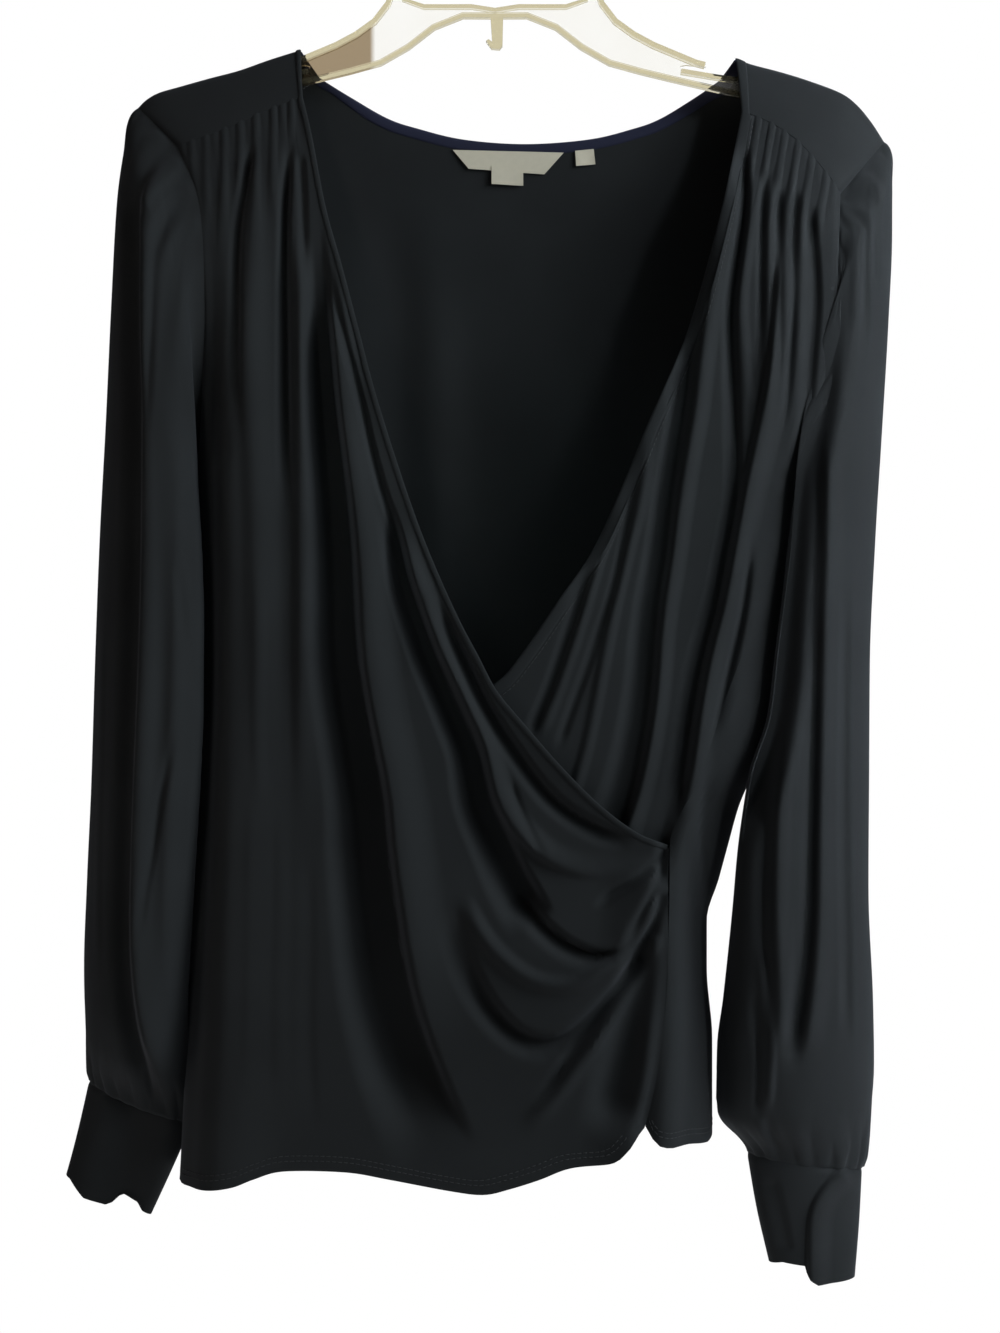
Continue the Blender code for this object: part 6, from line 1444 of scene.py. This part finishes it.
def band(name, outer, inner, thick, material, slot, node, sides=12):
    """A closed band of rounded section whose two edges are lines of points."""
    normals = facing_out(outer, inner)
    middle, half = (outer + inner) / 2, (outer - inner) / 2
    turns = 2 * np.pi * np.arange(sides) / sides
    c, s = (np.sign(part) * np.abs(part) ** 0.75 for part in (np.cos(turns), np.sin(turns)))
    points = (middle[:, None] + c[None, :, None] * half[:, None]
              + s[None, :, None] * normals[:, None] * thick / 2)
    obj = grid_mesh(name, points, closed=True)
    face_outward(obj, fill=True)
    smooth(obj, 70)
    return stands_for(obj, material, slot, node)


def on_yoke(shape, share, round_it):
    """Points over a yoke at one share of its length."""
    return yoke_point(shape, np.full(len(round_it), share), round_it)


def band_lines(shape, edge, width, side, surface, count=220):
    """The two edges of a front band: over the yoke's neck end, then down the edge of the front."""
    lines = []
    for inward, share in ((0.01, 0.0), (width, neck_share(width))):
        low = spline(inset_path(edge, inward, side), np.linspace(0, 1, count)[1:])
        low = in_space(low[:, 0], surface(low[:, 0], low[:, 1]), low[:, 1])
        lines.append(np.vstack([on_yoke(shape, share, np.linspace(0, -1, 16)), low]))
    return lines


band_over = band("band_over_jersey", *band_lines(LEFT_YOKE, OVER_EDGE, OVER_BAND, 1, over_surface), 2.0,
                 black_jersey, "jersey", "edge_band_over")
band_under = band("band_under_jersey", *band_lines(RIGHT_YOKE, UNDER_EDGE, UNDER_BAND, -1, under_surface),
                  1.5, black_jersey, "jersey", "edge_band_under")

# %% The navy binding of the back neck
YOKE_STEPS = 12  # points of the binding on each yoke, before it goes over to the back


def binding_lines():
    """The binding's upper and lower edge: down the left yoke, across the back, up the right yoke."""
    round_it = np.linspace(0.2, 1, YOKE_STEPS)
    lines = []
    for path, left_width, right_width in ((inset_path(BACK_NECK, 0.01, 1), 0, 0),
                                          (back_neck(), OVER_BAND, UNDER_BAND)):
        flat = spline(path, np.linspace(0, 1, 160)[1:-1])
        lines.append(np.vstack([
            on_yoke(LEFT_YOKE, neck_share(left_width), round_it),
            in_space(flat[:, 0], back_surface(flat[:, 0], flat[:, 1]), flat[:, 1]),
            on_yoke(RIGHT_YOKE, neck_share(right_width), round_it[::-1]),
        ]))
    return lines


# The lower edge is let out a little, and more at the corners, where it has to cover the seams.
outer, inner = binding_lines()
at = np.arange(len(inner))
corner = YOKE_STEPS - 0.5
from_corner = np.minimum(abs(at - corner), abs(at - (len(inner) - corner - 1)))
inner = inner + unit(inner - outer) * (0.2 + 1.1 * ease(1 - from_corner / 7))[:, None]
binding = band("neck_binding_navy", outer, inner, 1.6, navy_jersey, "navy_binding", "neck_binding_back")

# %% [markdown]
# ## Labels
#
# Three cream satin labels are sewn inside the back neck: a wide one with slanted ends, a small tab
# under it and a size tab beside it. All are left blank. Satin has a soft sheen along one direction.

# %% Satin for the labels
def satin(name, colour):
    """Woven satin: fine ribs across, and a sheen stretched along one direction."""
    material, tree, shader = principled(name, colour)
    chart = add(tree, "UVMap", uv_map="cloth")
    ribs = add(tree, "TexWave", {"Scale": 900}, bands_direction="Y")
    bump = add(tree, "Bump", {"Strength": 0.3, "Distance": 0.0001})
    noise = add(tree, "TexNoise", {"Scale": 260})
    shade = ramp(tree, scaled(colour, 0.9), colour)
    link(tree,
         (chart.outputs["UV"], ribs.inputs["Vector"]),
         (chart.outputs["UV"], noise.inputs["Vector"]),
         (ribs.outputs["Fac"], bump.inputs["Height"]),
         (bump.outputs["Normal"], shader.inputs["Normal"]),
         (noise.outputs["Fac"], shade.inputs["Fac"]),
         (shade.outputs["Color"], shader.inputs["Base Color"]))
    settle(shader, {"Roughness": 0.42, "Anisotropic": 0.4, "Sheen Weight": 0.2})
    return material


cream_satin = satin("cream_satin", (0.66, 0.60, 0.47))

# %% Three labels on the back neck
# name, four corners, how far off the cloth it starts, how far its lower edge stands off
LABELS = (
    ("label_main", ((-24, 190), (39, 191.5), (28, 203.5), (-15, 200.5)), 0.0, 0.6),
    ("label_lower", ((-2, 199), (16, 201), (16, 210), (-2, 209)), 0.8, 0.5),
    ("label_size", ((45.5, 190.5), (56, 189.5), (57, 198), (46, 199)), 0.0, 0.7),
)


def label_points(corners, layer, bow):
    """A label's grid, off the inner face of the back, its lower edge standing off a little."""
    a, b, c, d = (np.array(p, float) for p in corners)
    s, t = np.meshgrid(np.linspace(0, 1, 25), np.linspace(0, 1, 13))
    s_in, t_in = s[..., None], t[..., None]
    flat = (a * (1 - s_in) + b * s_in) * (1 - t_in) + (d * (1 - s_in) + c * s_in) * t_in
    y = back_surface(flat[..., 0], flat[..., 1]) - 1.2 - layer
    y = y - bow * t * (0.6 + 0.4 * np.sin(5 * s + 1))
    return in_space(flat[..., 0], y, flat[..., 1])


labels = [
    cloth(name + "_satin", label_points(corners, layer, bow), cream_satin, "label_satin", name, thick=0.35)
    for name, corners, layer, bow in LABELS
]

# %% [markdown]
# ## Stitches
#
# A hem of jersey is held by a twin needle, which leaves two rows of short stitches side by side. One
# stitch is made from a cylinder with bevelled ends and is then repeated along lines that follow the
# cloth. The rows of one seam are a single mesh.

# %% Thread and one stitch
def thread(name, colour):
    """Twisted thread: slanted stripes of a darker and a lighter tone."""
    material, tree, shader = principled(name, colour)
    place = add(tree, "TexCoord")
    twist = add(tree, "TexWave", {"Scale": 1200}, bands_direction="DIAGONAL")
    shade = ramp(tree, scaled(colour, 0.6), colour)
    link(tree,
         (place.outputs["Object"], twist.inputs["Vector"]),
         (twist.outputs["Fac"], shade.inputs["Fac"]),
         (shade.outputs["Color"], shader.inputs["Base Color"]))
    settle(shader, {"Roughness": 0.7, "Sheen Weight": 0.12})
    return material


def one_stitch(length=2.3, thick=0.4):
    """Points, in millimetres along x, and faces of a stitch with bevelled ends."""
    bpy.ops.mesh.primitive_cylinder_add(vertices=6, radius=thick / 2, depth=length)
    made = bpy.context.object
    bpy.ops.object.mode_set(mode="EDIT")
    bpy.ops.mesh.select_all(action="SELECT")
    bpy.ops.transform.rotate(value=math.radians(90), orient_axis="Y", center_override=(0, 0, 0))
    bpy.ops.object.mode_set(mode="OBJECT")
    apply(made, "BEVEL", width=thick * 0.3, segments=1, limit_method="ANGLE", angle_limit=math.radians(70))
    points = np.array([v.co[:] for v in made.data.vertices])
    faces = [tuple(f.vertices) for f in made.data.polygons]
    bpy.data.objects.remove(made)
    return points, faces


STITCH, STITCH_FACES = one_stitch()

# %% A row of stitches along a line on the cloth
def line_on(grid, distance, left, right):
    """Points and normals on a grid of cloth, along its lower edge at a distance, between two x."""
    length = along_cloth(grid)
    at = length[-1] - distance
    line = np.array([[np.interp(at[c], length[:, c], grid[:, c, k]) for k in range(3)]
                     for c in range(grid.shape[1])])
    normal = unit(np.cross(np.gradient(line, axis=0), grid[-1] - line))
    keep = (line[:, 0] > left) & (line[:, 0] < right)
    return line[keep], normal[keep]


def stitches(name, lines, material, slot, pitch=3.2, lift=0.38):
    """One mesh with a stitch every few millimetres along each line."""
    points, faces = [], []
    for line, normal in lines:
        steps = np.linalg.norm(np.diff(line, axis=0), axis=1)
        length = np.concatenate([[0], np.cumsum(steps)])
        for at in np.arange(pitch, length[-1] - pitch, pitch):
            here, ahead = (np.array([np.interp(at + d, length, line[:, k]) for k in range(3)])
                           for d in (-0.4, 0.4))
            along = unit(ahead - here)
            out = np.array([np.interp(at, length, normal[:, k]) for k in range(3)])
            out = unit(out - along * (out @ along))
            axes = np.array([along, np.cross(out, along), out])
            start = sum(len(p) for p in points)
            points.append(STITCH @ axes + (here + ahead) / 2 + out * lift)
            faces += [[v + start for v in face] for face in STITCH_FACES]
    obj = new_object(name, np.concatenate(points), faces)
    face_outward(obj)
    smooth(obj, 50)
    return stands_for(obj, material, slot)

# %% Rows of stitches
# The two rows of a hem run at the same distances from the edge as the lines pressed into it. A row
# under the wide band follows its lower edge as far as the over front.
black_thread = thread("black_thread", (0.017, 0.018, 0.020))
for name, grid, left, right, outward in (("over_hem_stitches", over_grid, -173, 72, -1),
                                         ("under_hem_stitches", under_grid, -168, 74, -1),
                                         ("back_hem_stitches", back_grid, -173, 130, 1)):
    lines = [line_on(grid, far, left, right) for far in HEM_STITCHES]
    facing = np.sign(np.median([normal[:, 1].mean() for _, normal in lines]))
    stitches(name, [(line, normal * facing * outward) for line, normal in lines], black_thread, "jersey")
foot = spline(inset_path(UNDER_EDGE, UNDER_BAND + 0.9, -1), np.linspace(0.01, 0.8, 300))
foot = in_space(foot[:, 0], under_surface(foot[:, 0], foot[:, 1]), foot[:, 1])
to_front = np.tile((0.0, -1.0, 0.0), (len(foot), 1))
stitches("under_band_stitches", [(foot, to_front)], black_thread, "jersey")

# %% [markdown]
# ## The hanger
#
# Clear moulded plastic, slightly yellowed: the thin web is nearly clear, the thicker ribs are a darker
# yellow, their own yellowing with painted shade for the grey their edges show, and one arm has a
# smoked brown plate. The ribs stand proud of the web, so the distance from the middle plane tells the
# two apart. The hook is a bent steel wire.

# %% Clear plastic and steel
def clear_plastic(name):
    """Clear plastic: its colour is taken from how far off the middle plane and along the arm it is."""
    material, tree, shader = principled(name, (0.8, 0.74, 0.58))
    material.diffuse_color[3] = 0.5
    place = add(tree, "TexCoord")
    noise = add(tree, "TexNoise", {"Scale": 30})
    web = ramp(tree, (0.95, 0.935, 0.88), (1, 0.995, 0.97))
    parts = add(tree, "SeparateXYZ")
    off = add(tree, "Math", operation="ABSOLUTE")
    on_rib = add(tree, "MapRange", {"From Min": 0.0011, "From Max": 0.0016})
    on_plate = add(tree, "MapRange", {"From Min": -0.067, "From Max": -0.070})
    with_plate, with_rib_yellow_and_shade = (add(tree, "Mix", data_type="RGBA") for _ in range(2))
    # A Mix node takes its two colours at inputs 6 and 7 and gives the mixed one at output 2.
    with_plate.inputs[7].default_value = (0.36, 0.28, 0.18, 1)
    # The ribs' colour is the plastic's yellowing, darkened with painted shade for the grey of its
    # refracting edges.
    with_rib_yellow_and_shade.inputs[7].default_value = (0.63, 0.57, 0.38, 1)
    scratch = add(tree, "TexNoise", {"Scale": 220})
    bump = add(tree, "Bump", {"Strength": 0.08, "Distance": 0.0005})
    link(tree,
         (place.outputs["Object"], noise.inputs["Vector"]),
         (place.outputs["Object"], scratch.inputs["Vector"]),
         (noise.outputs["Fac"], web.inputs["Fac"]),
         (place.outputs["Object"], parts.inputs["Vector"]),
         (parts.outputs["Y"], off.inputs[0]),
         (off.outputs["Value"], on_rib.inputs["Value"]),
         (parts.outputs["X"], on_plate.inputs["Value"]),
         (on_plate.outputs["Result"], with_plate.inputs[0]),
         (on_rib.outputs["Result"], with_rib_yellow_and_shade.inputs[0]),
         (web.outputs["Color"], with_plate.inputs[6]),
         (with_plate.outputs[2], with_rib_yellow_and_shade.inputs[6]),
         (with_rib_yellow_and_shade.outputs[2], shader.inputs["Base Color"]),
         (scratch.outputs["Fac"], bump.inputs["Height"]),
         (bump.outputs["Normal"], shader.inputs["Normal"]))
    settle(shader, {"Roughness": 0.06, "IOR": 1.3, "Transmission Weight": 0.97})
    return material


def steel(name):
    """Bright steel with an uneven polish."""
    material, tree, shader = principled(name, (0.8, 0.8, 0.8))
    place = add(tree, "TexCoord")
    noise = add(tree, "TexNoise", {"Scale": 400})
    rough = add(tree, "MapRange", {"To Min": 0.16, "To Max": 0.34})
    link(tree,
         (place.outputs["Object"], noise.inputs["Vector"]),
         (noise.outputs["Fac"], rough.inputs["Value"]),
         (rough.outputs["Result"], shader.inputs["Roughness"]))
    settle(shader, {"Base Color": (0.62, 0.61, 0.58, 1), "Metallic": 1.0})
    return material


for name, material in (("hanger_frame", clear_plastic("yellowed_clear_plastic")),
                       ("hanger_hook", steel("bright_steel"))):
    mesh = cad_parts[name].data
    mesh.materials.clear()
    mesh.materials.append(material)

# %% [markdown]

# %% [markdown]
# ## Floor, light and camera
#
# The top hangs over a plain pale floor, in white surroundings. A large soft light stands at the front
# right like a window, with a second beside the sleeve, and a weak warm one fills in from the left.
# Three narrow ones lift the right sleeve, the left front and, through the neck, the inside of the
# back. Light that comes mostly from one side lets the black cloth be read by its folds.

# %% A pale floor
def pale(name, value, glow):
    """Dull white that glows a little, so that it stays even."""
    material, _, shader = principled(name, (0.8, 0.8, 0.8))
    settle(shader, {"Base Color": (value, value, value, 1), "Roughness": 0.9, "Specular IOR Level": 0.1,
                    "Emission Color": (1, 1, 1, 1), "Emission Strength": glow})
    return material


bpy.ops.mesh.primitive_circle_add(vertices=96, radius=0.9, fill_type="NGON", location=(0, 0, -1.15))
floor = bpy.context.object
floor.name = "floor"
floor.data.materials.append(pale("pale_floor", 0.85, 0.35))

# %% Soft studio light
def soft_light(name, place, aim, size, power, colour, spread):
    """A rectangle of light at a place, turned to what it lights, with the angle it spreads over."""
    data = bpy.data.lights.new(name, "AREA")
    data.shape = "RECTANGLE"
    data.size, data.size_y = size
    data.energy = power
    data.color = colour
    data.spread = math.radians(spread)
    lamp = bpy.data.objects.new(name, data)
    bpy.context.collection.objects.link(lamp)
    lamp.location = place
    way = np.array(aim, float) - np.array(place, float)
    flat = math.hypot(way[0], way[1])
    lamp.rotation_euler = (math.atan2(flat, -way[2]), 0, math.atan2(-way[0], way[1]))


COOL, WARM, ALL_ROUND = (0.86, 0.93, 1.0), (1.0, 0.92, 0.86), 180
# name, place, aim, size, watts, colour, spread
for light in (
    ("right_window", (1.15, -0.80, 0.20), (0.05, 0, -0.40), (0.9, 1.1), 12.0, (0.86, 0.95, 1.0), ALL_ROUND),
    ("beside_the_sleeve", (0.90, -0.40, -0.02), (0.20, 0, -0.44), (0.4, 0.8), 7.5, (0.85, 0.94, 1.0),
     ALL_ROUND),
    ("left_room", (-1.25, -0.70, -0.30), (-0.12, 0, -0.5), (0.5, 0.8), 1.35, (1.0, 0.90, 0.84), ALL_ROUND),
    ("on_the_right_sleeve", (0.75, -0.75, -0.02), (0.225, 0, -0.44), (0.1, 0.75), 0.26, COOL, 16),
    ("on_the_left_front", (-0.60, -1.10, 0.20), (-0.15, 0, -0.45), (0.15, 0.7), 0.05, WARM, 14),
    ("through_the_neck", (-0.12, -1.1, 0.30), (0.02, 0.05, -0.42), (0.15, 0.15), 0.018, (0.78, 1, 1), 14),
):
    soft_light(*light)

# %% White surroundings
# The camera, and what shows through the plastic, see white; as light the room is weak and cool.
world = bpy.data.worlds.new("white_room")
bpy.context.scene.world = world
world.use_nodes = True
tree = world.node_tree
room = tree.nodes["Background"]
settle(room, {"Color": (0.90, 0.95, 1.0, 1), "Strength": 0.012})
seen = add(tree, "Background", {"Color": (1, 1, 1, 1), "Strength": 1.0})
path = add(tree, "LightPath")
either = add(tree, "Math", operation="MAXIMUM")
mix = add(tree, "MixShader")
link(tree,
     (path.outputs["Is Camera Ray"], either.inputs[0]),
     (path.outputs["Is Transmission Ray"], either.inputs[1]),
     (either.outputs["Value"], mix.inputs["Fac"]),
     (room.outputs["Background"], mix.inputs[1]),
     (seen.outputs["Background"], mix.inputs[2]),
     (mix.outputs["Shader"], tree.nodes["World Output"].inputs["Surface"]))

# %% The camera
lens = bpy.data.cameras.new("camera")
lens.lens = 57.9
lens.sensor_width = 36
camera = bpy.data.objects.new("camera", lens)
bpy.context.collection.objects.link(camera)
camera.location = (0.0028, -1.2, -0.4832)
camera.rotation_euler = (math.radians(90), 0, 0)
bpy.context.scene.camera = camera
bpy.context.scene.view_settings.view_transform = "Standard"
